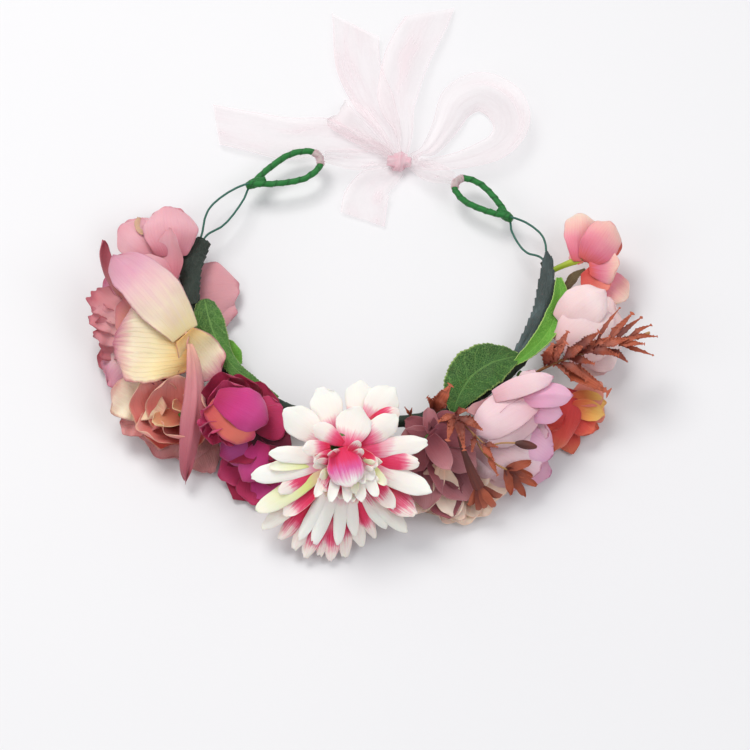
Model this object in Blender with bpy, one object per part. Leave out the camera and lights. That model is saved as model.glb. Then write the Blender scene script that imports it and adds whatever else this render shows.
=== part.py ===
"""Flower crown: a wire band wrapped in floral tape, silk flowers and leaves round its front, ribbon ties behind.

The crown lies flat, as on a table. +Z is up, +X is the wearer's left when it is worn with the flowers in
front, -Y is the front, and the origin is at table height in the middle of the whole outline.
"""

import math

import bmesh
import bpy
from mathutils import Matrix, Vector

GAP = 0.0004  # clearance between pieces that touch

# Head ring: the band's centre line is part of an ellipse, with its ends open at the back.
RING_HALF_WIDTH = 0.097
RING_HALF_DEPTH = 0.0825
RING_X = -0.003
RING_Y = -0.0075
BAND_HEIGHT = 0.0150
BAND_START_DEG = 10.0
BAND_END_DEG = -200.0

WIRE_RADIUS = 0.0006
WIRE_SPACING = 0.0022  # between the two wires, centre to centre, inside the band
STEM_ROOM = 0.0008  # round the two wires inside the band tape, for the flowers' stems
TAPE_WALL = 0.0008
BAND_RADIUS = WIRE_SPACING / 2 + WIRE_RADIUS + STEM_ROOM + TAPE_WALL  # outside of the band tape
EYE_HEIGHT = 0.0125
EYE_TAPE_RADIUS = 0.0015  # outside of the tape on the eyelets
TWIST_CLEARANCE = 0.0007
TWIST_RISE = 2 * EYE_TAPE_RADIUS + TWIST_CLEARANCE  # height between the two wires where they cross

RIBBON_WIDTH = 0.025
CLOTH = 0.0008  # thickness that stands for one layer of ribbon
LEAF = 0.0008
LEAF_LIFT = 0.0012  # from the top of the band tape to the middle of a leaf laid on it
KNOT_SIZE = (0.016, 0.015, 0.0095)

COLOURS = {
    "wire": (0.05, 0.16, 0.10), "band_tape": (0.03, 0.06, 0.04), "eye_tape": (0.02, 0.22, 0.07),
    "end_leaf": (0.05, 0.07, 0.06), "ribbon": (0.95, 0.80, 0.84), "dark_leaf": (0.05, 0.16, 0.03),
    "bright_leaf": (0.13, 0.35, 0.04), "pale_pink": (0.85, 0.52, 0.57), "cream_rose": (0.88, 0.62, 0.46),
    "salmon": (0.74, 0.36, 0.33), "magenta": (0.55, 0.04, 0.18), "white_pink": (0.93, 0.78, 0.78),
    "hot_pink": (0.85, 0.10, 0.28), "mauve": (0.45, 0.20, 0.26), "peach": (0.92, 0.70, 0.58),
    "lilac_pink": (0.85, 0.55, 0.66), "coral": (0.78, 0.15, 0.10), "blush": (0.88, 0.62, 0.62),
    "blossom": (0.88, 0.42, 0.42), "lime": (0.45, 0.55, 0.05), "terracotta": (0.45, 0.13, 0.07),
    "calyx": (0.10, 0.25, 0.05),
}


def clear_scene():
    for thing in list(bpy.data.objects):
        bpy.data.objects.remove(thing, do_unlink=True)


def material(name):
    made = bpy.data.materials.get(name)
    if made is None:
        made = bpy.data.materials.new(name)
        made.use_nodes = True
        shader = made.node_tree.nodes["Principled BSDF"]
        shader.inputs["Base Color"].default_value = (*COLOURS[name], 1.0)
        shader.inputs["Roughness"].default_value = 0.7
        shader.inputs["Metallic"].default_value = 0.0
    return made


def add_mesh(name, shape, colour):
    """Makes an object from a bmesh, with its normals facing out."""
    bmesh.ops.recalc_face_normals(shape, faces=shape.faces)
    if shape.calc_volume(signed=True) < 0:
        bmesh.ops.reverse_faces(shape, faces=shape.faces)
    mesh = bpy.data.meshes.new(name)
    shape.to_mesh(mesh)
    shape.free()
    mesh.shade_smooth()
    mesh.set_sharp_from_angle(angle=math.radians(40))
    mesh.materials.append(material(colour))
    thing = bpy.data.objects.new(name, mesh)
    bpy.context.scene.collection.objects.link(thing)
    return thing


def ring_point(degrees, outward=0.0, height=BAND_HEIGHT):
    """A point on the head ring, moved outward along the ellipse's normal."""
    turn = math.radians(degrees)
    x = RING_HALF_WIDTH * math.cos(turn)
    y = RING_HALF_DEPTH * math.sin(turn)
    normal = Vector((math.cos(turn) / RING_HALF_WIDTH, math.sin(turn) / RING_HALF_DEPTH, 0)).normalized()
    return Vector((RING_X + x, RING_Y + y, height)) + normal * outward


def ring_outward(degrees):
    return (ring_point(degrees, 1.0) - ring_point(degrees)).normalized()


def smooth_path(points, spacing):
    """Points about one spacing apart on a smooth curve through the given points."""
    points = [Vector(p) for p in points]
    ends = [2 * points[0] - points[1]] + points + [2 * points[-1] - points[-2]]
    path = []
    for a, b, c, d in zip(ends, ends[1:], ends[2:], ends[3:]):
        steps = max(2, round((c - b).length / spacing))
        for step in range(steps):
            t = step / steps
            path.append(0.5 * (2 * b + (c - a) * t + (2 * a - 5 * b + 4 * c - d) * t * t
                               + (3 * b - 3 * c + d - a) * t ** 3))
    return path + [points[-1]]


def add_tube(name, path, radius, colour, sides=6):
    """A round rod along a path, made as a curve with filled caps."""
    curve = bpy.data.curves.new(name, "CURVE")
    curve.dimensions = "3D"
    curve.bevel_depth = radius
    curve.bevel_resolution = (sides - 4) // 2
    curve.use_fill_caps = True
    spline = curve.splines.new("POLY")
    spline.points.add(len(path) - 1)
    for point, place in zip(spline.points, path):
        point.co = (*place, 1.0)
    curve.materials.append(material(colour))
    thing = bpy.data.objects.new(name, curve)
    bpy.context.scene.collection.objects.link(thing)
    return thing


def section_frames(path):
    """For each point of a path: the point, its level sideways direction and its up direction."""
    frames = []
    for i, here in enumerate(path):
        along = (path[min(i + 1, len(path) - 1)] - path[max(i - 1, 0)]).normalized()
        across = along.cross(Vector((0, 0, 1))).normalized()
        frames.append((here, across, across.cross(along).normalized()))
    return frames


def add_sleeve(name, path, inner, outer, colour, sides=8):
    """A hollow sleeve along a path, open at both ends."""
    shape = bmesh.new()
    rows = []
    for here, across, up in section_frames(path):
        row = []
        for radius in (outer, inner):
            for side in range(sides):
                turn = 2 * math.pi * side / sides
                row.append(shape.verts.new(here + radius * (math.cos(turn) * across + math.sin(turn) * up)))
        rows.append(row)
    for side in range(sides):
        following = (side + 1) % sides
        for row, after in zip(rows, rows[1:]):
            shape.faces.new((row[side], row[following], after[following], after[side]))
            shape.faces.new((row[sides + side], after[sides + side],
                             after[sides + following], row[sides + following]))
        for row in (rows[0], rows[-1]):
            shape.faces.new((row[side], row[following], row[sides + following], row[sides + side]))
    return add_mesh(name, shape, colour)


def add_strip(name, rows, thickness, colour):
    """A thin curved sheet: an edge is extruded from row to row, and the sheet gets its thickness."""
    shape = bmesh.new()
    line = [shape.verts.new(place) for place in rows[0]]
    edges = [shape.edges.new(pair) for pair in zip(line, line[1:])]
    for row in rows[1:]:
        made = bmesh.ops.extrude_edge_only(shape, edges=edges)["geom"]
        fresh = [v for v in made if isinstance(v, bmesh.types.BMVert)]
        edges = [e for e in made if isinstance(e, bmesh.types.BMEdge) and all(v in fresh for v in e.verts)]
        ordered = [next(e.other_vert(v) for e in v.link_edges if e.other_vert(v) in fresh) for v in line]
        for vert, place in zip(ordered, row):
            vert.co = place
        line = ordered
    thing = add_mesh(name, shape, colour)
    wall = thing.modifiers.new("thickness", "SOLIDIFY")
    wall.thickness = thickness
    wall.offset = 0.0
    wall.use_even_offset = False
    return thing


# Each end of the frame: where its two wires cross and where its eyelet's tip is, as an angle on the head
# ring and a distance outward from it, then how far the eyelet and the open loop before it belly out.
FRAME_ENDS = {
    "left": {"band_deg": BAND_END_DEG, "twist": (-228.5, 0.0015), "tip": (-254.0, 0.0006),
             "eye_half_width": 0.0086, "loop_out": 0.0080, "loop_in": 0.0036},
    "right": {"band_deg": BAND_START_DEG, "twist": (34.0, -0.0055), "tip": (59.0, -0.0060),
              "eye_half_width": 0.0070, "loop_out": 0.0076, "loop_in": 0.0048},
}
EYE_SHAPE = ((0.30, 0.62), (0.66, 1.00), (0.92, 0.66))  # share of the eyelet's length, share of its half width
WIRE_STEP = 0.0085
EYE_STEP = 0.0042
TURN_HALF_LENGTH = 0.0042  # of the ribbon turned round the eyelet's tip
TURN_RADIUS = EYE_TAPE_RADIUS + GAP + CLOTH


def end_points(end):
    """The places of an end's twist and eyelet tip, and the level direction across its eyelet."""
    twist = ring_point(*end["twist"], EYE_HEIGHT)
    tip = ring_point(*end["tip"], EYE_HEIGHT)
    along = (tip - twist).normalized()
    across = along.cross(Vector((0, 0, 1)))
    if across.dot(ring_outward(end["twist"][0])) < 0:
        across.negate()
    return twist, tip, along, across


def eye_branch(end, side, lift):
    """One side of an eyelet, from its twist to its tip."""
    twist, tip, along, across = end_points(end)
    length = (tip - twist).length
    points = [twist + Vector((0, 0, lift))]
    for share, width in EYE_SHAPE:
        rise = lift * (1 - share) * 0.9
        points.append(twist + share * length * along + side * width * end["eye_half_width"] * across
                      + Vector((0, 0, rise)))
    return smooth_path(points + [tip], EYE_STEP)


def loop_points(end, side, lift):
    """From the band's end to the twist, along one wire of the open loop."""
    start = ring_point(end["band_deg"], side * WIRE_SPACING / 2)
    twist, _, _, _ = end_points(end)
    belly = end["loop_out"] if side > 0 else end["loop_in"]
    along = (twist - start).normalized()
    across = along.cross(Vector((0, 0, 1)))
    if across.dot(ring_outward(end["band_deg"])) < 0:
        across.negate()
    middle = (start + twist) / 2
    return [start + 0.30 * (twist - start) + side * 0.8 * belly * across, middle + side * belly * across,
            start + 0.78 * (twist - start) + side * 0.72 * belly * across], twist + Vector((0, 0, lift))


def make_frame():
    left, right = FRAME_ENDS["left"], FRAME_ENDS["right"]
    for name, side in (("outer_wire", 1), ("inner_wire", -1)):
        lift = side * TWIST_RISE / 2
        # The wires cross at each twist, so the wire that is outside the ring makes the inner side of the eye.
        left_eye = eye_branch(left, -side, lift)
        right_eye = eye_branch(right, -side, lift)
        left_loop, left_twist = loop_points(left, side, lift)
        right_loop, right_twist = loop_points(right, side, lift)
        span = BAND_START_DEG - BAND_END_DEG + 3
        band = [ring_point(BAND_START_DEG + 1.5 - span * i / 20, side * WIRE_SPACING / 2) for i in range(21)]
        middle = smooth_path([right_twist] + right_loop[::-1] + band + left_loop + [left_twist], WIRE_STEP)
        path = right_eye[::-1] + middle[1:-1] + left_eye
        # The two wires butt at each tip.
        for index, inside in ((0, 1), (-1, -2)):
            path[index] = path[index] + (path[inside] - path[index]).normalized() * GAP
        add_tube(name, path, WIRE_RADIUS, "wire")
    band_path = [ring_point(BAND_START_DEG - (BAND_START_DEG - BAND_END_DEG) * i / 44) for i in range(45)]
    add_sleeve("band_tape", band_path, BAND_RADIUS - TAPE_WALL, BAND_RADIUS, "band_tape")
    for side_name, end in FRAME_ENDS.items():
        upper = eye_branch(end, -1, TWIST_RISE / 2)
        lower = eye_branch(end, 1, -TWIST_RISE / 2)
        loop = upper + lower[::-1][1:]
        add_sleeve(side_name + "_eye_tape", loop, WIRE_RADIUS + GAP / 2, EYE_TAPE_RADIUS, "eye_tape")
        tip = len(upper) - 1
        steps = max(1, round(TURN_HALF_LENGTH / EYE_STEP))
        add_sleeve(side_name + "_ribbon_turn", loop[tip - steps:tip + steps + 1],
                   EYE_TAPE_RADIUS + GAP, TURN_RADIUS, "ribbon")


# Each leaf: the angles on the ring between which it lies, its greatest width, how far in from the band's middle
# it is centred, how far it lies above the leaves on the band, its colour, and how near its start it is widest.
LEAVES = {
    "left_end_leaf": (-199, -174, 0.0120, -0.0006, 0.0, "end_leaf", 0.8),
    "right_end_leaf": (9.5, -33, 0.0110, 0.0020, 0.0, "end_leaf", 0.5),
    "left_green_leaf": (-172.5, -122, 0.0150, 0.0032, 0.0, "dark_leaf", 0.6),
    "small_light_leaf": (-154, -138, 0.0090, 0.0100, -0.0075, "bright_leaf", 0.5),
    "right_broad_leaf": (-69, -36, 0.0230, 0.0070, 0.0026, "dark_leaf", 0.5),
    "right_bright_leaf": (-2, -33, 0.0100, -0.0070, 0.0030, "bright_leaf", 0.5),
}
LEAF_STEPS = 12


def make_leaves():
    """Leaves laid along the ring, each bent down a little on both sides of its midrib."""
    on_band = BAND_HEIGHT + BAND_RADIUS + LEAF_LIFT
    for name, (start, stop, width, inward, above, colour, blunt) in LEAVES.items():
        rows = []
        for i in range(LEAF_STEPS + 1):
            share = i / LEAF_STEPS
            half = 0.5 * width * max(0.12, math.sin(math.pi * share ** blunt) ** 0.6)
            angle = start + (stop - start) * share
            height = on_band + above
            rows.append([ring_point(angle, -inward - half, height - 0.10 * half),
                         ring_point(angle, -inward, height + 0.15 * half),
                         ring_point(angle, -inward + half, height - 0.10 * half)])
        add_strip(name, rows, LEAF, colour)


# Each bloom: its angle on the ring, how far its middle is outward of the band, along it and above the table,
# its half sizes (along the band, outward, up), how far it leans outward and is swung round, its calyx's length
# and radius, and what its two parts are called where they aren't petals and a calyx. A bloom with a claim over
# 1 keeps more of the room that it shares with its neighbours.
BLOOMS = {
    "pale_rose": {"at": -194, "out": 0.023, "height": 0.019, "half": (0.023, 0.020, 0.017), "lean": 10,
                  "calyx": (0.0052, 0.0030), "colour": "pale_pink"},
    "garden_rose": {"at": -166, "out": 0.030, "height": 0.025, "half": (0.037, 0.0262, 0.025), "lean": 0,
                    "calyx": (0.0052, 0.0035), "colour": "cream_rose", "heart": 0.010},
    "lower_rose": {"at": -139, "out": 0.036, "height": 0.017, "half": (0.026, 0.030, 0.018), "lean": 10,
                   "calyx": (0.0060, 0.0030), "colour": "salmon"},
    "magenta_peony": {"at": -126, "out": 0.024, "height": 0.028, "half": (0.024, 0.026, 0.022), "lean": 20,
                      "calyx": (0.0052, 0.0032), "colour": "magenta", "heart": 0.009},
    "magenta_bud": {"at": -118, "out": 0.038, "height": 0.012, "half": (0.022, 0.020, 0.0135), "lean": 0,
                    "calyx": (0.0060, 0.0025), "colour": "magenta"},
    "chrysanthemum": {"at": -98.5, "out": 0.0335, "height": 0.0255, "half": (0.052, 0.0525, 0.023), "lean": 22,
                      "calyx": (0.0060, 0.0060), "colour": "white_pink", "heart": 0.013, "peg_up": 62,
                      "claim": 1.35},
    "mauve_flower": {"at": -74, "out": 0.034, "height": 0.026, "half": (0.020, 0.027, 0.018), "lean": 25,
                     "calyx": (0.0052, 0.0025), "colour": "mauve"},
    "peach_flower": {"at": -70, "out": 0.046, "height": 0.008, "half": (0.022, 0.019, 0.010), "lean": 0,
                     "calyx": (0.0060, 0.0022), "colour": "peach"},
    "upper_magnolia": {"at": -47, "out": 0.025, "height": 0.034, "half": (0.029, 0.018, 0.014), "lean": 12,
                       "calyx": (0.0075, 0.0028), "colour": "lilac_pink"},
    "lower_magnolia": {"at": -55, "out": 0.039, "height": 0.019, "half": (0.024, 0.025, 0.016), "lean": 15,
                       "calyx": (0.0060, 0.0028), "colour": "lilac_pink"},
    "coral_lily": {"at": -37, "out": 0.044, "height": 0.014, "half": (0.019, 0.020, 0.014), "lean": 0,
                   "calyx": (0.0060, 0.0024), "colour": "coral"},
    "blush_rose": {"at": -15, "out": 0.027, "height": 0.022, "half": (0.022, 0.019, 0.019), "lean": 0,
                   "calyx": (0.0100, 0.0028), "colour": "blush"},
    "blossom": {"at": 5, "out": 0.030, "height": 0.026, "shift": 0.006, "half": (0.024, 0.015, 0.014),
                "lean": 0, "calyx": (0.0110, 0.0016), "colour": "blossom", "parts": ("petals", "stem")},
    "spray": {"at": -33, "out": 0.036, "height": 0.037, "shift": 0.026, "half": (0.013, 0.032, 0.008),
              "lean": 0, "swing": 60, "peg_up": 35, "calyx": (0.0130, 0.0012), "colour": "terracotta",
              "parts": ("leaves", "stem")},
    "bell_sprig": {"at": -64, "out": 0.042, "height": 0.039, "half": (0.021, 0.030, 0.006), "lean": 28,
                   "calyx": (0.0100, 0.0012), "colour": "terracotta", "parts": ("leaves", "stem")},
}
FLOWER_ROUND, FLOWER_RINGS = 18, 9
LOBES, LOBE_DEPTH = 6, 0.06


def bloom_frame(bloom):
    """A bloom's centre, its turning matrix, and the direction of its peg from the band."""
    root = ring_point(bloom["at"])
    outward = ring_outward(bloom["at"])
    along = Vector((0, 0, 1)).cross(outward)
    centre = ring_point(bloom["at"], bloom["out"], bloom["height"]) + bloom.get("shift", 0) * along
    swing = Matrix.Rotation(math.radians(bloom.get("swing", 0)), 3, "Z")
    # Across the bloom, out from the ring and up make a right-handed set.
    turned = swing @ Matrix((-along, outward, Vector((0, 0, 1)))).transposed()
    lean = Matrix.Rotation(math.radians(-bloom["lean"]), 3, "X")
    peg = (centre - root).normalized()
    if "peg_up" in bloom:
        up = math.radians(bloom["peg_up"])
        peg = math.cos(up) * outward + math.sin(up) * Vector((0, 0, 1))
    return centre, turned @ lean, peg


def reach(bloom, direction):
    """How far a bloom's ellipsoid reaches from its centre in a direction."""
    _, turned, _ = bloom_frame(bloom)
    local = turned.transposed() @ direction
    return math.sqrt(sum((half * part) ** 2 for half, part in zip(bloom["half"], local)))


def cut_away(shape, point, normal):
    """Removes what lies beyond a plane, and closes the cut."""
    geometry = shape.verts[:] + shape.edges[:] + shape.faces[:]
    bmesh.ops.bisect_plane(shape, geom=geometry, dist=1e-7, plane_co=point, plane_no=normal, clear_outer=True)
    rim = [e for e in shape.edges if e.is_boundary]
    if rim:
        bmesh.ops.edgeloop_fill(shape, edges=rim)


def base_distance(bloom):
    return BAND_RADIUS + GAP + bloom["calyx"][0] + GAP


def bloom_shape(name, bloom):
    """A lobed ellipsoid, trimmed where it meets the table, its own calyx and its neighbours."""
    centre, turned, peg = bloom_frame(bloom)
    shape = bmesh.new()
    bmesh.ops.create_uvsphere(shape, u_segments=FLOWER_ROUND, v_segments=FLOWER_RINGS, radius=1.0)
    for vert in shape.verts:
        around = math.atan2(vert.co.y, vert.co.x)
        lobe = 1 - LOBE_DEPTH * (0.5 - 0.5 * math.cos(LOBES * around)) * math.hypot(vert.co.x, vert.co.y)
        local = Vector((part * half for part, half in zip(vert.co * lobe, bloom["half"])))
        vert.co = centre + turned @ local
    cut_away(shape, Vector((0, 0, 0)), Vector((0, 0, -1)))
    cut_away(shape, ring_point(bloom["at"]) + base_distance(bloom) * peg, -peg)
    for other_name, other in BLOOMS.items():
        if other_name == name:
            continue
        other_centre, _, _ = bloom_frame(other)
        apart = other_centre - centre
        towards = apart.normalized()
        mine = reach(bloom, towards) * bloom.get("claim", 1)
        theirs = reach(other, towards) * other.get("claim", 1)
        share = apart.length * mine / (mine + theirs)
        cut_away(shape, centre + towards * (share - GAP), towards)
    return shape


def make_blooms():
    for name, bloom in BLOOMS.items():
        centre, turned, peg = bloom_frame(bloom)
        head_name, base_name = bloom.get("parts", ("petals", "calyx"))
        petals = add_mesh(name + "_" + head_name, bloom_shape(name, bloom), bloom["colour"])
        if "heart" in bloom:
            top = centre + turned @ Vector((0, 0, bloom["half"][2] * 0.86))
            for kind, radius in (("heart", bloom["heart"]), ("cutter", bloom["heart"] + GAP)):
                ball = bmesh.new()
                bmesh.ops.create_uvsphere(ball, u_segments=14, v_segments=8, radius=radius,
                                          matrix=Matrix.Translation(top) @ turned.to_4x4())
                made = add_mesh(name + "_" + kind, ball, "hot_pink")
            made.hide_render = True
            made.display_type = "WIRE"
            hollow = petals.modifiers.new("heart seat", "BOOLEAN")
            hollow.operation = "DIFFERENCE"
            hollow.object = made
        length, radius = bloom["calyx"]
        root = ring_point(bloom["at"]) + peg * (BAND_RADIUS + GAP)
        cone = bmesh.new()
        turn = peg.to_track_quat("Z", "Y").to_matrix().to_4x4()
        bmesh.ops.create_cone(cone, cap_ends=True, segments=10, radius1=min(radius, 0.0018), radius2=radius,
                              depth=length, matrix=Matrix.Translation(root + peg * length / 2) @ turn)
        add_mesh(name + "_" + base_name, cone, "calyx")


def lay_blade(name, base, tip, side, width, belly, colour):
    """A single petal or small leaf from its base to its tip, hollowed by its belly."""
    base, tip, side = Vector(base), Vector(tip), Vector(side).normalized()
    normal = side.cross(tip - base).normalized()
    rows = []
    steps = 8
    for i in range(steps + 1):
        share = i / steps
        half = 0.5 * width * max(0.15, math.sin(math.pi * share ** 0.8) ** 0.6)
        middle = base.lerp(tip, share) + normal * belly * (4 * share * (1 - share) - 1)
        rows.append([middle - half * side, middle - normal * belly * 0.4, middle + half * side])
    return add_strip(name, rows, LEAF, colour)


def make_loose_petals():
    under_band = ring_point(-176, 0.002, 0.0045)
    lay_blade("inner_petal", under_band, ring_point(-177, -0.026, 0.0045), (0, 1, 0), 0.036, 0.0030, "pale_pink")
    over_band = ring_point(-73, -0.001, BAND_HEIGHT + BAND_RADIUS + 0.0020)
    lay_blade("small_terracotta_leaf", over_band, over_band + Vector((0.004, 0.009, 0.016)), (1, 0, 0), 0.012,
              0.0010, "terracotta")


# The bow: where its knot is, then for each tail the side of the knot that it leaves (x, y), and its centre line
# and width from there (x, y, height above the table, share of the ribbon's width).
KNOT_AT = (80.4, 0.0)
STRAND_SIZE = (0.0080, 0.0024)
STRAND_WIDTHS = ((0.0, 0.9), (0.25, 1.1), (0.5, 1.2), (0.75, 1.0), (1.0, 0.7))  # along it, share of its width
TAIL_STEP = 0.0075
TAILS = {
    "left_tail": ((-1, 0), [(-0.0038, 0.0105, 0.0012, 0.28), (-0.0180, 0.0120, 0.0016, 0.56),
                            (-0.0320, 0.0160, 0.0022, 0.88), (-0.0520, 0.0150, 0.0014, 1.0),
                            (-0.0720, 0.0190, 0.0020, 1.0), (-0.0920, 0.0240, 0.0010, 0.92)]),
    "back_left_tail": ((0, 1), [(-0.0035, 0.0050, 0.0012, 0.32), (-0.0050, 0.0135, 0.0014, 0.50),
                                (-0.0130, 0.0295, 0.0016, 0.88), (-0.0220, 0.0525, 0.0012, 1.0),
                                (-0.0240, 0.0785, 0.0010, 1.0)]),
    "back_right_tail": ((0, 1), [(0.0030, 0.0050, 0.0050, 0.32), (0.0020, 0.0135, 0.0056, 0.48),
                                 (-0.0010, 0.0295, 0.0060, 0.88), (0.0040, 0.0545, 0.0052, 1.0),
                                 (0.0130, 0.0765, 0.0026, 1.0), (0.0170, 0.0865, 0.0014, 0.88)]),
    "front_tail": ((0, -1), [(-0.0040, -0.0020, 0.0012, 0.40), (-0.0120, -0.0065, 0.0018, 0.88),
                             (-0.0180, -0.0155, 0.0020, 1.0), (-0.0220, -0.0255, 0.0010, 1.0)]),
}
# The two bow loops: the side of the knot, where each starts and ends from there, its half width and height.
BOW_LOOPS = {
    "left_loop": {"side": (-1, 0), "start": (-0.0110, 0.0150), "end": (-0.0290, 0.0315), "half": 0.0080,
                  "low": 0.0040, "high": 0.0130},
    "right_loop": {"side": (1, 0), "start": (0.0020, 0.0020), "end": (0.0560, 0.0290), "half": 0.0225,
                   "low": 0.0004, "high": 0.0150},
}


def knot_centre():
    return ring_point(*KNOT_AT, KNOT_SIZE[2] / 2)


def knot_side(side):
    """The point at table height below one side of the knot."""
    return ring_point(*KNOT_AT, 0.0) + Vector((side[0] * KNOT_SIZE[0] / 2, side[1] * KNOT_SIZE[1] / 2, 0))


def make_knot():
    shape = bmesh.new()
    bmesh.ops.create_uvsphere(shape, u_segments=16, v_segments=10, radius=0.5)
    bmesh.ops.scale(shape, vec=KNOT_SIZE, verts=shape.verts)
    bmesh.ops.translate(shape, vec=knot_centre(), verts=shape.verts)
    add_mesh("bow_knot", shape, "ribbon")


def make_strand(name, end, side):
    """The gathered ribbon from the turn round an eyelet's tip to one side of the knot."""
    _, tip, _, _ = end_points(end)
    stop = knot_centre() + Vector((side * (KNOT_SIZE[0] / 2 + 0.0008), -0.0010, 0.0020))
    along = (stop - tip).normalized()
    start = tip + along * (TURN_RADIUS + 2 * GAP)
    across = along.cross(Vector((0, 0, 1))).normalized() * STRAND_SIZE[0] / 2
    rows = []
    for share, wide in STRAND_WIDTHS:
        middle = start.lerp(stop, share)
        rows.append([middle - wide * across, middle + wide * across])
    add_strip(name, rows, STRAND_SIZE[1], "ribbon")


def make_tail(name, side, points):
    path = smooth_path([knot_side(side) + Vector(point[:3]) for point in points], TAIL_STEP)
    count = len(path) - 1
    rows = []
    for i, (here, across, _) in enumerate(section_frames(path)):
        place = i / count * (len(points) - 1)
        first = min(int(place), len(points) - 2)
        share = points[first][3] + (points[first + 1][3] - points[first][3]) * (place - first)
        half = across * share * RIBBON_WIDTH / 2
        rows.append([here - half, here + half])
    add_strip(name, rows, CLOTH, "ribbon")


def make_bow_loop(name, loop):
    """A puffed loop: an ellipsoid that narrows towards the knot."""
    start = knot_side(loop["side"]) + Vector((*loop["start"], 0))
    end = knot_side(loop["side"]) + Vector((*loop["end"], 0))
    along = (end - start) / 2
    across = Vector((0, 0, 1)).cross(along).normalized() * loop["half"]
    tall = (loop["high"] - loop["low"]) / 2
    shape = bmesh.new()
    bmesh.ops.create_uvsphere(shape, u_segments=16, v_segments=10, radius=1.0,
                              matrix=Matrix.Rotation(math.pi / 2, 4, "Y"))
    for vert in shape.verts:
        x, y, z = vert.co
        narrow = 0.22 + 0.78 * math.sqrt(max(0.0, 0.5 + 0.5 * x))
        level = loop["low"] + tall * narrow * (1 + z)
        vert.co = (start + end) / 2 + along * x + across * y * narrow + Vector((0, 0, level))
    add_mesh(name, shape, "ribbon")


def make_ribbon():
    make_knot()
    make_strand("left_strand", FRAME_ENDS["left"], -1)
    make_strand("right_strand", FRAME_ENDS["right"], 1)
    for name, (side, points) in TAILS.items():
        make_tail(name, side, points)
    for name, loop in BOW_LOOPS.items():
        make_bow_loop(name, loop)


clear_scene()
make_frame()
make_leaves()
make_blooms()
make_loose_petals()
make_ribbon()
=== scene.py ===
import math
import random

import bmesh
import bpy
from mathutils import Color, Matrix, Vector, noise
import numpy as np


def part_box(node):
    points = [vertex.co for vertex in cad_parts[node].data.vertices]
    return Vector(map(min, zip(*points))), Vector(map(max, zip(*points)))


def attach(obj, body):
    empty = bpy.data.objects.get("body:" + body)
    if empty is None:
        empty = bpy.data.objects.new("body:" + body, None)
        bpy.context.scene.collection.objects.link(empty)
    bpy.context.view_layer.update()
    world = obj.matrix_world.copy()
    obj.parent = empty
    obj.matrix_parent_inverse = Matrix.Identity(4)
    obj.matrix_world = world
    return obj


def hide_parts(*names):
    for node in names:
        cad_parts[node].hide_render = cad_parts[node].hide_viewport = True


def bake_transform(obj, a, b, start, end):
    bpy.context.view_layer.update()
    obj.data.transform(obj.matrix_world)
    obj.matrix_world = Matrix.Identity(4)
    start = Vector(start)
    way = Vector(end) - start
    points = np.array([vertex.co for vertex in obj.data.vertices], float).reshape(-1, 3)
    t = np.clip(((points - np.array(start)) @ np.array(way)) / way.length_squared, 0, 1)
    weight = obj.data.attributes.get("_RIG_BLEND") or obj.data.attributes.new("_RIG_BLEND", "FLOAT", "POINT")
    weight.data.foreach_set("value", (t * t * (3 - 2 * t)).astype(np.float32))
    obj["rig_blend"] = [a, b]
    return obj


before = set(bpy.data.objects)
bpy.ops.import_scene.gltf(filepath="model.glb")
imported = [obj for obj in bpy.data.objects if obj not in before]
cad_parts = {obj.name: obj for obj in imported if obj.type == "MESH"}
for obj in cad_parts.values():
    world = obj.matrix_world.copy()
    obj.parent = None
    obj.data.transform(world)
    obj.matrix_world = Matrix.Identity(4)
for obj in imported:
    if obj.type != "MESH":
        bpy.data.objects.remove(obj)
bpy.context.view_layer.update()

mm = 0.001
up = Vector((0, 0, 1))
oneTurn = 6.28  # in radians, near enough for ripples and lumps


def shade(code):
    # a screen colour such as "E9B0B8" as the shader's linear colour
    parts = [int(code[i:i + 2], 16) / 255 for i in (0, 2, 4)]
    return (*Color(parts).from_srgb_to_scene_linear(), 1.0)


studio = {  # lengths in metres, angles in degrees
    "target": (0.000, -0.0555, 0.004), "elevation": 64.0, "distance": 4.60, "lens": 409.0,
    "floorSize": 6.0, "floorColour": "EDEDEF", "floorCloud": "E9E9EC",
    "world": 0.425,
    "lamps": [  # place, size, power, colour
        ((-0.55, 0.75, 1.55), 1.00, 17.5, "FFFDFA"),
        ((0.85, -0.35, 1.25), 1.10, 6.0, "FBFCFF"),
        ((-0.90, -0.60, 0.95), 0.90, 3.2, "FFFFFF"),
    ],
}


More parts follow.
